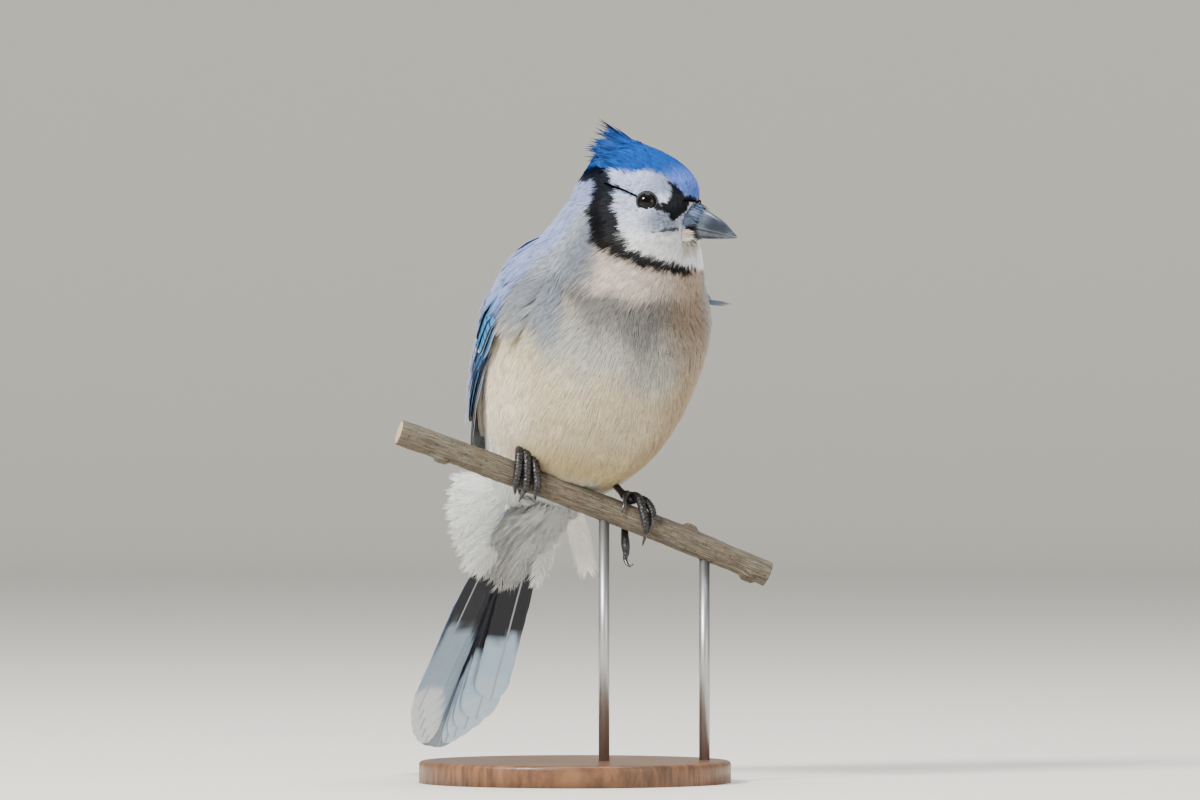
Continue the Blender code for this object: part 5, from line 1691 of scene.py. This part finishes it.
def plume(coat, root, tip, facing, half, bow, barbs, colour, place, droop=0.3, fine=0.15, lean=34.0, seed=0,
          ragged=0.15):
    """One plume from root to tip, both points, whose face looks to facing."""
    made = np.random.default_rng(seed)
    way = unit(tip - root)
    across = unit(np.cross(way, facing))
    up = unit(np.cross(across, way))
    length = float(np.linalg.norm(tip - root))

    def shaft(t):
        return root + (tip - root) * t[:, None] + up * (bow * 4 * t * (1 - t))[:, None]

    t = np.repeat(np.linspace(0.04, 0.97, barbs), 2) + made.uniform(-0.006, 0.006, 2 * barbs)
    flank = np.tile((1.0, -1.0), barbs)
    wide = half * np.minimum(1, 0.35 + 2.2 * t) * (1 - np.clip((t - 0.55) / 0.5, 0, 1) ** 2.2) + 0.5
    angle = np.radians(lean + 16 * (1 - t) + made.normal(0, 5, 2 * barbs))
    reach = wide / np.sin(angle) * (1 - made.uniform(0, ragged * 2, 2 * barbs))
    reach = np.minimum(reach, (1.06 - t) * length / np.cos(angle) + 1.0)
    start = shaft(t)
    first = across * (flank * np.sin(angle))[:, None] + way * np.cos(angle)[:, None]
    bent = unit(first + way * 0.35)
    middle = start + first * (reach * 0.5)[:, None] - up * (droop * 0.12 * reach)[:, None]
    end = middle + bent * (reach * 0.5)[:, None] - up * (droop * 0.45 * reach)[:, None]
    end = end + made.normal(0, 0.05, (2 * barbs, 3)) * reach[:, None]
    spine = np.stack((start, middle, end), 1)
    side = unit(np.cross(first, up))
    ups = np.broadcast_to(up, spine.shape)
    width = np.stack((np.full(2 * barbs, fine), np.full(2 * barbs, fine * 1.1), np.zeros(2 * barbs)), 1)
    points = strands(spine, np.broadcast_to(side[:, None], spine.shape), ups, width)
    along_barb = np.array((0.9,) * 3 + (1.0,) * 3 + (1.05,))
    bright = made.uniform(0.85, 1.08, (2 * barbs, 1, 1)) * along_barb[None, :, None]
    bake = np.stack(np.broadcast_arrays(
        place[0] + (flank * t * 0.5)[:, None] * PATCH + np.zeros(7),
        place[1] + (t - 0.5)[:, None] * PATCH * 2 + np.zeros(7)), -1)
    facing = strand_facing(np.broadcast_to(side[:, None], spine.shape), ups, 0.3)
    coat.add(points, facing, colour * bright, bake)
    stem_t = np.array((0.0, 0.35, 0.7, 1.0))
    stem = shaft(stem_t)[None]
    width = np.array(((0.3, 0.24, 0.16, 0.0),))
    stem_axes = np.broadcast_to(across, stem.shape), np.broadcast_to(up, stem.shape)
    points = strands(stem, *stem_axes, width)
    tint = np.broadcast_to(colour * 1.05, points.shape)
    coat.add(points, strand_facing(*stem_axes), tint, np.broadcast_to(np.array(place), (1, 10, 2)))


# Layers of plumes from the tail up to the belly: how many, where the tips end along the tail and
# how deep under it, then the same two for the roots.
VENT_LAYERS = (
    (10, 43.0, 4.6, -4.0, 9.0), (10, 35.0, 7.4, -4.0, 10.4), (10, 26.0, 9.8, -5.0, 12.0),
    (10, 18.0, 12.6, -7.0, 15.5), (10, 9.0, 16.4, -11.0, 20.5), (9, 0.0, 20.5, -15.0, 24.5),
)


def under_tail():
    """The long white coverts under the root of the tail, in layers that reach up to the belly."""
    coat = Coat()
    made = np.random.default_rng(81)
    for layer, (count, reach, depth, back, low) in enumerate(VENT_LAYERS):
        for n in range(count):
            u = 2 * n / (count - 1) - 1
            length = reach - 10 * u * u + made.normal(0, 1.6)
            root = in_tail(back, 10.5 * u, -low)
            tip = in_tail(length, 12.5 * u + made.normal(0, 0.6), -depth - 1.0 + 1.6 * u * u)
            # The white coverts are dimmed to 0.5 to 0.72 of their white: painted shade under the body and tail.
            shade = made.uniform(0.5, 0.72) * VENT_WHITE
            plume(coat, root, tip, -TAIL_TOP, 4.6, 2.0, 78, shade, (0.4 + 0.1 * u, 0.04), 0.15, 0.12, lean=22,
                  seed=100 + n + 20 * layer)
    return coat.build("under_tail_coverts", "torso")


RUMP_TIPS = ((-48, 31, 6), (-50, 31, -6), (-52, 28.5, -16), (-53, 24, -25), (-54, 18, -33))


def rump_puffs():
    """Soft white plumes at the right of the tail's root, and fewer at its left."""
    coat = Coat()
    made = np.random.default_rng(83)
    for flank, count in ((1, 22), (-1, 12)):
        for n in range(count):
            u = n / (count - 1) * (len(RUMP_TIPS) - 1)
            f, r, up = curve_through(RUMP_TIPS, np.array(u))
            if flank < 0:
                f, r, up = f + 3, 6 - r * 0.72, up - 4
            scatter = made.normal(0, 1.3, 3)
            root = in_body(-41 - u, (11 - 1.5 * u) * flank if flank > 0 else -10.0, 9 - 4.5 * u)
            tip = in_body(f + scatter[0], r + scatter[1], up + scatter[2])
            plume(coat, root, tip, FORWARD - 0.15 * RIGHT * flank, 4.4, 2.0, 64,
                  VENT_WHITE, (0.5, 0.05), 0.2, 0.12,
                  lean=28, seed=140 + n, ragged=0.12)
    return coat.build("rump_plumes", "torso")


HANGING_WHITE = srgb(244, 243, 238)


def hanging_feather():
    """The long white feather that hangs behind the branch, from the left flank."""
    root, tip = in_body(-22, -8, 2), in_body(-25, -18.7, -31.0)
    way = unit(tip - root)
    toward = np.array((0.0, -1.0, 0.0))
    across = unit(np.cross(way, toward))
    up = unit(np.cross(across, way))

    def line(t):
        point = root + (tip - root) * t[:, None] + up * (1.2 * 4 * t * (1 - t))[:, None]
        return point, np.tile(across, (len(t), 1)), np.tile(up, (len(t), 1))

    def look(t, x):
        colour = np.tile(HANGING_WHITE, (len(t), 1))
        return colour, colour

    vanes = Vanes()
    length = float(np.linalg.norm(tip - root))
    vanes.add(line, length, 4.4, 4.4, look, 0.55, 2.2, 0.3, 0.6, (0.0, 4.0),
              (HANGING_WHITE, HANGING_WHITE), 0.7, 7)
    vanes.build("hanging_feather", "torso")
    coat = Coat()
    plume(coat, root, tip - up * 0.2, toward, 5.2, 1.3, 120, HANGING_WHITE, (0.45, 0.06), 0.1, 0.13,
          lean=26, seed=170, ragged=0.05)
    return coat.build("hanging_barbs", "torso")


def shell_tufts(coat, along, angle, flank, reach, turn, lifts, colour, half, blades, fine, seed):
    """Tufts on the folded wing's surface. lifts are the heights of root, middle and tip."""
    count = len(along)
    low, mid, tip = (
        shell_point(along - reach * t, (angle + turn * t) * flank, lift) for t, lift in zip((0.0, 0.5, 1.0), lifts))
    way = unit(tip - low)
    up = mid - on_axis(along - reach * 0.5)
    up = square_to(up, way)
    place = np.stack((angle * flank / 360 % 1.0, along / 180), -1)
    tufts(coat, low, mid, tip, unit(np.cross(way, up)), up, half, blades, fine,
          colour, place, 2, shades=(0.7, 1.0), seed=seed)


def shoulder_cover(seed):
    """Tufts of the shoulder and the flank that lie over the top and front of each folded wing."""
    coat = Coat()
    made = np.random.default_rng(seed)
    for flank in (1, -1):
        count = int(250 * QUICK)
        angle = made.uniform(88, 152, count)
        along = made.uniform(98, 119, count) + smooth(114, 96, angle) * made.uniform(6, 9, count)
        colour = mixed(np.tile(MANTLE, (count, 1)), BACK_BLUE, smooth(108, 150, angle) * 0.8)
        colour = colour * made.uniform(0.86, 1.1, (count, 1))
        loose = made.uniform(0, 0.8, count)
        lifts = (-1.5 - 5.5 * smooth(104, 118, along), 1.8 + loose, 2.4 + loose)
        reach = made.uniform(12, 19, count)
        shell_tufts(coat, along, angle, flank, reach, 2.0, lifts, colour, 2.0, 9, 0.15, seed + flank)
        count = int(300 * QUICK)
        along = made.uniform(98, 129, count)
        angle = made.uniform(72, 84 + 14 * smooth(108, 122, along))
        reach = made.uniform(11, 16, count)
        colour = markings(shell_point(along, angle * flank, -2.0)) * made.uniform(0.9, 1.06, (count, 1))
        loose = made.uniform(0, 0.8, count)
        turn, lifts = 2 + 10 * smooth(98, 116, along), (-3.0, 0.4 + loose, 1.8 + loose)
        shell_tufts(coat, along, angle, flank, reach, turn, lifts, colour, 1.9, 9, 0.15, seed + flank + 5)
    return coat.build("shoulder_cover", "torso")


def shoulder_fringe():
    """Loose pale plumes of the shoulder that stand out along the upper edge of each wing."""
    coat = Coat()
    made = np.random.default_rng(87)
    for flank in (1, -1):
        for n in range(26):
            u = n / 25
            along = 108 - 52 * u + made.normal(0, 2)
            angle = 138 - 6 * u + made.normal(0, 4)
            root = shell_point(along, angle * flank, 1.4)
            fall, turn, lift = 22 + 6 * made.uniform(), 119 + 4 * made.uniform(), 3.0 + 1.8 * made.uniform()
            tip = shell_point(along - fall, turn * flank, lift)
            out = unit(root - on_axis(along))
            colour = mixed(MANTLE[None], BACK_BLUE, np.array([made.uniform(0, 0.4)]))[0]
            plume(coat, root, tip, out, 3.4, 1.0, 34, colour, (0.5 + 0.38 * flank, 0.55 - 0.2 * u), 0.3, 0.13,
                  lean=28, seed=200 + n + 30 * (flank > 0), ragged=0.25)
    return coat.build("shoulder_fringe", "torso")


WISPS = (
    ((49.0, -9.0, 198.0), (58.0, -12.0, 196.4), (66.5, -14.0, 196.0)),
    ((49.0, -9.0, 200.5), (53.5, -11.0, 199.5), (57.0, -12.0, 196.0)),
    ((50.0, -9.0, 192.0), (54.0, -11.0, 190.5), (56.5, -12.0, 186.0)),
)


def side_wisps():
    """Stray strands that stand off the bird's left side."""
    coat = Coat()
    root, middle, tip = (np.array([row[i] for row in WISPS]) for i in range(3))
    way = unit(tip - root)
    up = unit(np.array((0.0, -1.0, 0.2)) - way * dot(np.array((0.0, -1.0, 0.2)), way)[:, None])
    count = len(WISPS)
    tufts(coat, root, middle, tip, unit(np.cross(way, up)), up, 0.9, 10, 0.26,
          np.tile(SHADOW_BLUE * 1.1, (count, 1)), np.tile((0.05, 0.6), (count, 1)), 4, 0.3, uneven=0.2, seed=91)
    return coat.build("side_wisps", "torso")


under_tail()
rump_puffs()
hanging_feather()
shoulder_cover(89)
shoulder_fringe()
side_wisps()

# %% [markdown]
# ## Feet
# Toes follow lines round the branch. Rings of scales stand a little above each toe, and the
# claws are pieces of their own.

# %% Rods with any section


def rod_rings(points, radii, guide, around=16, bumps=None):
    """Points of a rounded rod. guide is the way that counts as out at each point."""
    way = unit(np.gradient(points, axis=0))
    out = unit(guide - way * dot(guide, way)[:, None])
    side = np.cross(way, out)
    angle = np.linspace(0, 2 * math.pi, around + 1)[:-1]
    reach = radii[:, None] * (np.ones((len(points), around)) if bumps is None else bumps(angle))
    ring = out[:, None] * np.cos(angle)[None, :, None] + side[:, None] * np.sin(angle)[None, :, None]
    return points[:, None] + ring * reach[..., None]


def rod_faces(rings, around, start=0):
    faces = []
    for r in range(rings - 1):
        for c in range(around):
            a, b = r * around + c, r * around + (c + 1) % around
            faces += [(a, b, b + around), (a, b + around, a + around)]
    low, high = rings * around, rings * around + 1
    last = (rings - 1) * around
    for c in range(around):
        d = (c + 1) % around
        faces += [(low, d, c), (high, last + c, last + d)]
    return np.array(faces) + start


class Rods:
    """Gathers closed rods in one piece."""

    def __init__(self):
        self.verts, self.faces, self.count = [], [], 0

    def add(self, points, radii, guide, around=16, bumps=None):
        rings = rod_rings(points, radii, guide, around, bumps)
        verts = np.concatenate((rings.reshape(-1, 3), points[:1], points[-1:]))
        self.faces.append(rod_faces(len(points), around, self.count))
        self.verts.append(verts)
        self.count += len(verts)
        return len(self.faces[-1])

    def build(self, name, material, slot, *nodes, second=None, maps=None):
        verts, faces = np.concatenate(self.verts), np.concatenate(self.faces)
        made = mesh_piece(name, verts, faces, material, maps=maps, second=second)
        if nodes:
            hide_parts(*nodes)
        return made


# %% Feet
SLOPE, TURN = math.radians(PERCH_SLOPE), math.radians(PERCH_TURN)
PERCH_LINE = np.array((math.cos(SLOPE) * math.cos(TURN), math.cos(SLOPE) * math.sin(TURN), -math.sin(SLOPE)))
PERCH_FRONT = unit(np.cross(PERCH_LINE, UP))
PERCH_TOP = unit(np.cross(PERCH_FRONT, PERCH_LINE))
PERCH_MID = np.array((0.0, -PERCH_FORWARD, PERCH_HEIGHT))


def at_perch(along, angle, reach):
    """Points round the branch: angle 0 is the viewer's side, 90 the top, 180 the back."""
    along, angle, reach = (np.asarray(v, float) for v in (along, angle, reach))
    turn = np.radians(angle)[..., None]
    return PERCH_MID + PERCH_LINE * along[..., None] + (
        PERCH_FRONT * np.cos(turn) + PERCH_TOP * np.sin(turn)) * reach[..., None]


def at_toe(along, angle, reach):
    lean = math.tan(SLOPE) * reach * np.sin(np.radians(angle))
    return at_perch(along - lean, angle, reach)


# Each toe's knots from its root to the claw's tip, as (along, angle, reach, radius).
RIGHT_TOES = (
    ((1.8, 100, 9.8, 1.6), (3.0, 60, 8.8, 1.7), (3.8, 25, 7.4, 1.7), (4.0, -10, 7.2, 1.6),
     (3.8, -36, 7.1, 1.45), (3.7, -50, 7.3, 0.95), (3.8, -64, 7.7, 0.7), (3.8, -74, 7.9, 0.3)),
    ((0.0, 100, 10.4, 1.8), (-0.2, 62, 9.8, 1.8), (-0.4, 25, 7.6, 1.75), (-0.6, -12, 7.3, 1.65),
     (-0.9, -40, 7.2, 1.5), (-1.6, -56, 7.6, 1.05), (-2.4, -72, 9.0, 0.75), (-3.0, -81, 10.2, 0.3)),
    ((-1.8, 100, 10.0, 1.7), (-3.2, 62, 9.4, 1.75), (-4.2, 25, 7.5, 1.7), (-4.8, -10, 7.2, 1.6),
     (-5.2, -38, 7.1, 1.45), (-5.3, -52, 7.3, 1.0), (-5.0, -66, 7.8, 0.7), (-4.7, -76, 8.2, 0.3)),
    ((0.0, 112, 8.5, 1.6), (0.0, 150, 7.4, 1.5), (-0.2, 190, 7.2, 1.5), (-0.4, 225, 7.2, 1.35),
     (-0.5, 248, 7.3, 0.9), (-0.5, 268, 7.7, 0.6), (-0.5, 280, 8.1, 0.3)),
)
LEFT_TOES = (
    ((-1.2, 98, 8.4, 1.5), (-2.8, 80, 8.6, 1.6), (-3.9, 60, 7.7, 0.95), (-5.0, 32, 6.8, 0.7),
     (-6.0, 4, 6.5, 0.3)),
    ((0.3, 98, 8.8, 1.7), (2.2, 66, 9.3, 1.7), (3.6, 30, 7.6, 1.65), (4.4, -2, 7.3, 1.5),
     (4.7, -24, 7.5, 1.0), (4.5, -44, 7.9, 0.85), (4.1, -58, 8.8, 0.6), (3.8, -66, 9.8, 0.3)),
    ((1.8, 98, 8.4, 1.5), (5.0, 78, 9.0, 1.6), (7.4, 52, 8.3, 1.55), (8.0, 28, 7.4, 1.3),
     (7.6, 8, 6.9, 0.9), (6.8, -8, 6.6, 0.6), (6.2, -20, 6.5, 0.3)),
    ((-0.4, 112, 8.0, 1.6), (-0.8, 150, 7.4, 1.5), (-1.2, 186, 7.5, 1.5), (-1.6, 222, 9.3, 1.5),
     (-1.6, 243, 12.0, 1.75), (-1.6, 252, 14.4, 1.3), (-2.1, 256, 16.4, 0.9), (-1.6, 262, 18.0, 0.75),
     (-0.3, 266, 18.2, 0.5), (0.8, 268, 16.9, 0.25)),
)
FEET = {"right": (-22.5, RIGHT_TOES), "left": (25.5, LEFT_TOES)}
CLAW_KNOTS = 3
SCALE_PITCH = 1.4
TOE_GIRTH = 1.03


def toe(scaly, claws, at, knots):
    """One toe with raised scales on top and pads below, then its claw."""
    last = len(knots) - 1
    split = last - CLAW_KNOTS + 0.35
    for part in ("toe", "claw"):
        low, high = (0.0, split + 0.25) if part == "toe" else (split - 0.3, float(last))
        t = np.linspace(low, high, 90 if part == "toe" else 36)
        along, angle, reach, radius = np.moveaxis(curve_through(knots, t), -1, 0)
        radius = radius * TOE_GIRTH
        points = at_toe(at + along, angle, reach)
        guide = points - at_perch(at + along, angle, reach * 0)
        if part == "claw":
            thin = 1 - 0.25 * np.linspace(0, 1, len(t))
            claws.add(points, np.maximum(radius * thin, 0.08), guide, 12)
            continue
        run = np.concatenate(([0.0], np.cumsum(np.linalg.norm(np.diff(points, axis=0), axis=1))))
        radius = radius * np.where(t > split, 1 - 0.35 * (t - split) / 0.25, 1.0)

        def bumps(turn, run=run):
            ridge = 1 - np.abs(2 * ((run / SCALE_PITCH) % 1.0) - 1) ** 3
            top = np.clip(np.cos(turn), 0, 1) ** 0.6
            pad = 0.10 * np.sin(run / 2.1)[:, None] * np.clip(-np.cos(turn), 0, 1)[None]
            return 1 + 0.26 * (ridge[:, None] - 0.6) * top[None] + pad

        scaly.add(points, radius, guide, 18, bumps)


def foot(side, name):
    at, toes = FEET[side]
    scaly, claws = Rods(), Rods()
    for knots in toes:
        toe(scaly, claws, at, knots)
    pad = at_toe(at, 100.0, PERCH_RADIUS + 3.0)
    t = np.linspace(-1, 1, 24)
    swell = 2.6 * np.sqrt(np.clip(1 - t**2, 0, 1)) + 0.05
    scaly.add(pad + PERCH_LINE * (t * 3.1)[:, None], swell, np.tile(PERCH_TOP, (24, 1)), 18)
    if side == "left":
        ankle = at_toe(at - 3.0, 100.0, PERCH_RADIUS + 3.0)
        hip = in_body(-4.0, -10.0, 15.0)
        t = np.linspace(0, 1, 80)
        points = ankle + (hip - ankle) * t[:, None]
        run = t * float(np.linalg.norm(hip - ankle))

        def shin(turn):
            ridge = 1 - np.abs(2 * ((run / 1.7) % 1.0) - 1) ** 4
            return 1 + 0.09 * (ridge[:, None] - 0.7) * (0.6 + 0.4 * np.cos(turn))[None]

        girth = np.full(80, 1.42) * (1 + 0.3 * smooth(0.12, 0.0, t))
        scaly.add(points, girth, np.tile(FORWARD, (80, 1)), 18, shin)
    nodes = [name, "leg_left"] if side == "left" else [name]
    scaly.build(name, FOOT, "foot", *nodes)
    claws.build(name.replace("foot", "claws"), CLAW, "foot")


foot("right", "foot_right")
foot("left", "foot_left")

# %% [markdown]
# ## Branch and stand
# The cut branch bows a little, with ripples in its bark and three knots. A turned wood base
# and two steel rods hold it.

# %% Branch
KNOTS = ((-58.0, 70.0, 3.0), (50.0, 255.0, 2.6), (79.0, 60.0, 3.2))


def branch():
    low, high = PERCH_ENDS
    along = np.concatenate(([low, low + 0.15], np.linspace(low + 0.5, high - 0.5, 300), [high - 0.15, high]))
    away = np.maximum(0.0, np.abs(along) - 34.0) / 50.0
    centre = at_perch(along, along * 0, along * 0) - PERCH_TOP * (1.1 * away**2)[:, None]
    girth = PERCH_RADIUS * (1 + 0.035 * np.sin(along / 6.5) * np.minimum(1.0, away * 3))
    chamfer = np.ones(len(along))
    chamfer[[0, -1]] = 0.9
    held = np.minimum.reduce([smooth(4, 9, np.abs(along - at)) for at, _ in FEET.values()])

    def bumps(turn):
        grid = np.stack(np.broadcast_arrays(
            along[:, None] * 0.22, np.cos(turn)[None] * PERCH_RADIUS, np.sin(turn)[None] * PERCH_RADIUS), -1)
        flat = grid.reshape(-1, 3)
        rough = ripple(flat, 2.6, 91) * 0.022 + ripple(flat, 1.1, 92) * 0.014
        rough = rough + ripple(flat * (0.4, 1, 1), 6.0, 93) * 0.03
        rough = rough.reshape(len(along), -1) * (0.35 + 0.65 * held[:, None])
        made = 1 + rough
        for at, angle, size in KNOTS:
            apart = (turn[None] - math.radians(angle) + math.pi) % (2 * math.pi) - math.pi
            gap = ((along[:, None] - at) / (size * 1.1)) ** 2 + (apart * PERCH_RADIUS / (size * 0.8)) ** 2
            collar_ring = np.exp(-((np.sqrt(gap) - 0.75) ** 2) * 9) * 0.2
            made = made + np.exp(-gap * 1.4) * size * 0.07 + collar_ring
        return made * chamfer[:, None]

    rods = Rods()
    count = rods.add(centre, girth, np.tile(PERCH_FRONT, (len(along), 1)), 72, bumps)
    cut = np.zeros(count, np.int32)
    cut[-144:] = 1
    round_ways = np.abs(np.linspace(-1, 1, 73)[:-1]) * math.pi * PERCH_RADIUS * 2
    grid = np.stack(np.broadcast_arrays(along[:, None], round_ways[None]), -1).reshape(-1, 2)
    grid = np.concatenate((grid, ((low, 0.0), (high, 0.0))))
    return rods.build("branch", BARK, "bark", "perch", second=(END_GRAIN, cut), maps={"Bark": grid})


branch()

# %% Stand


def upright(radius, depth, segments, place):
    """A closed cylinder, all in millimetres, whose middle is at place."""
    bm = bmesh.new()
    bmesh.ops.create_cone(
        bm, cap_ends=True, segments=segments, radius1=radius * MM, radius2=radius * MM, depth=depth * MM)
    bmesh.ops.translate(bm, vec=tuple(v * MM for v in place), verts=bm.verts)
    return bm


def stand():
    bm = upright(BASE_RADIUS, BASE_THICKNESS, 160, (0, 0, BASE_THICKNESS / 2))
    rim = [e for e in bm.edges if all(abs(v.co.z - BASE_THICKNESS * MM) < 1e-6 for v in e.verts)]
    bmesh.ops.bevel(bm, geom=rim, offset=BASE_EDGE * MM, segments=5, profile=0.5, affect="EDGES", material=-1)
    base = as_object("stand_base_wood", bm, WOOD, "stand_wood", "stand_base")
    for face in base.data.polygons:
        face.use_smooth = abs(face.normal.z) < 0.99
    for number, along in enumerate(ROD_PLACES, 1):
        head = at_perch(along, 0.0, 0.0)
        low, high = BASE_THICKNESS - 0.1, head[2] - PERCH_RADIUS + 0.6
        bm = upright(ROD_RADIUS, high - low, 48, (head[0], head[1], (low + high) / 2))
        as_object(f"stand_rod_{number}_steel", bm, STEEL, "stand_steel", f"stand_rod_{number}")


stand()

# %% [markdown]
# ## Finish
# The floor is round and bends up far away, so that no view has a wall in front of the model.
# Three soft lights stand round it, and the camera looks level, as the photograph does.

# %% Stage, light and camera
# The floor's radius, the height of its rim and the radius of the bend between them, in metres.
STAGE_RADIUS, STAGE_RIM, STAGE_BEND = 6.0, 1.8, 1.2


def stage_mesh():
    """A pale round floor that bends up far away on all sides."""
    bm = bmesh.new()
    reach, rise, bend = STAGE_RADIUS, STAGE_RIM, STAGE_BEND
    profile = [(0.0, 0.0), (1.5, 0.0), (reach - bend, 0.0)]
    profile += [
        (reach - bend + bend * math.sin(a), bend - bend * math.cos(a))
        for a in np.linspace(0, math.pi / 2, 17)[1:]
    ]
    profile.append((reach, rise))
    line = [bm.verts.new((y, 0, z)) for y, z in profile]
    edges = [bm.edges.new(pair) for pair in zip(line, line[1:])]
    bmesh.ops.spin(
        bm, geom=line + edges, cent=(0, 0, 0), axis=(0, 0, 1), angle=2 * math.pi, steps=96, use_merge=True)
    bmesh.ops.remove_doubles(bm, verts=bm.verts, dist=1e-5)
    bmesh.ops.recalc_face_normals(bm, faces=bm.faces)
    if bm.faces[0].normal.z < 0:
        bmesh.ops.reverse_faces(bm, faces=bm.faces)
    mesh = bpy.data.meshes.new("stage")
    bm.to_mesh(mesh)
    bm.free()
    for face in mesh.polygons:
        face.use_smooth = True
    mesh.materials.append(plain_paint("stage_paper", srgb(226, 222, 212), 0.95))
    made = bpy.data.objects.new("stage", mesh)
    bpy.context.scene.collection.objects.link(made)


def soft_light(name, place, size, power, colour, aim=(0.0, 0.0, 0.17)):
    light = bpy.data.lights.new(name, "AREA")
    light.shape = "DISK"
    light.size, light.energy, light.color = size, power, colour
    made = bpy.data.objects.new(name, light)
    bpy.context.scene.collection.objects.link(made)
    made.location = place
    towards = np.array(aim) - np.array(place)
    flat = math.hypot(towards[0], towards[1])
    made.rotation_euler = (math.pi / 2 + math.atan2(towards[2], flat), 0, math.atan2(-towards[0], towards[1]))


stage_mesh()
soft_light("key", (-1.7, -2.0, 2.0), 0.8, 200.0, (1.0, 0.965, 0.91))
soft_light("fill", (2.2, -2.0, 0.7), 1.4, 24.0, (1.0, 0.93, 0.84))
soft_light("sky", (0.2, 0.1, 2.4), 1.6, 60.0, (0.9, 0.95, 1.0), (0.0, 0.0, 0.1))

world = bpy.data.worlds.new("room")
world.use_nodes = True
world.node_tree.nodes["Background"].inputs["Color"].default_value = (0.83, 0.86, 0.9, 1.0)
world.node_tree.nodes["Background"].inputs["Strength"].default_value = 0.6
bpy.context.scene.world = world

lens = bpy.data.cameras.new("camera")
lens.lens = 36.0 * 4.0 / 0.492
lens.clip_end = 60.0
camera = bpy.data.objects.new("camera", lens)
camera.location = (0.01025, -4.0, 0.1568)
camera.rotation_euler = (math.pi / 2, 0, 0)
bpy.context.scene.collection.objects.link(camera)
bpy.context.scene.camera = camera
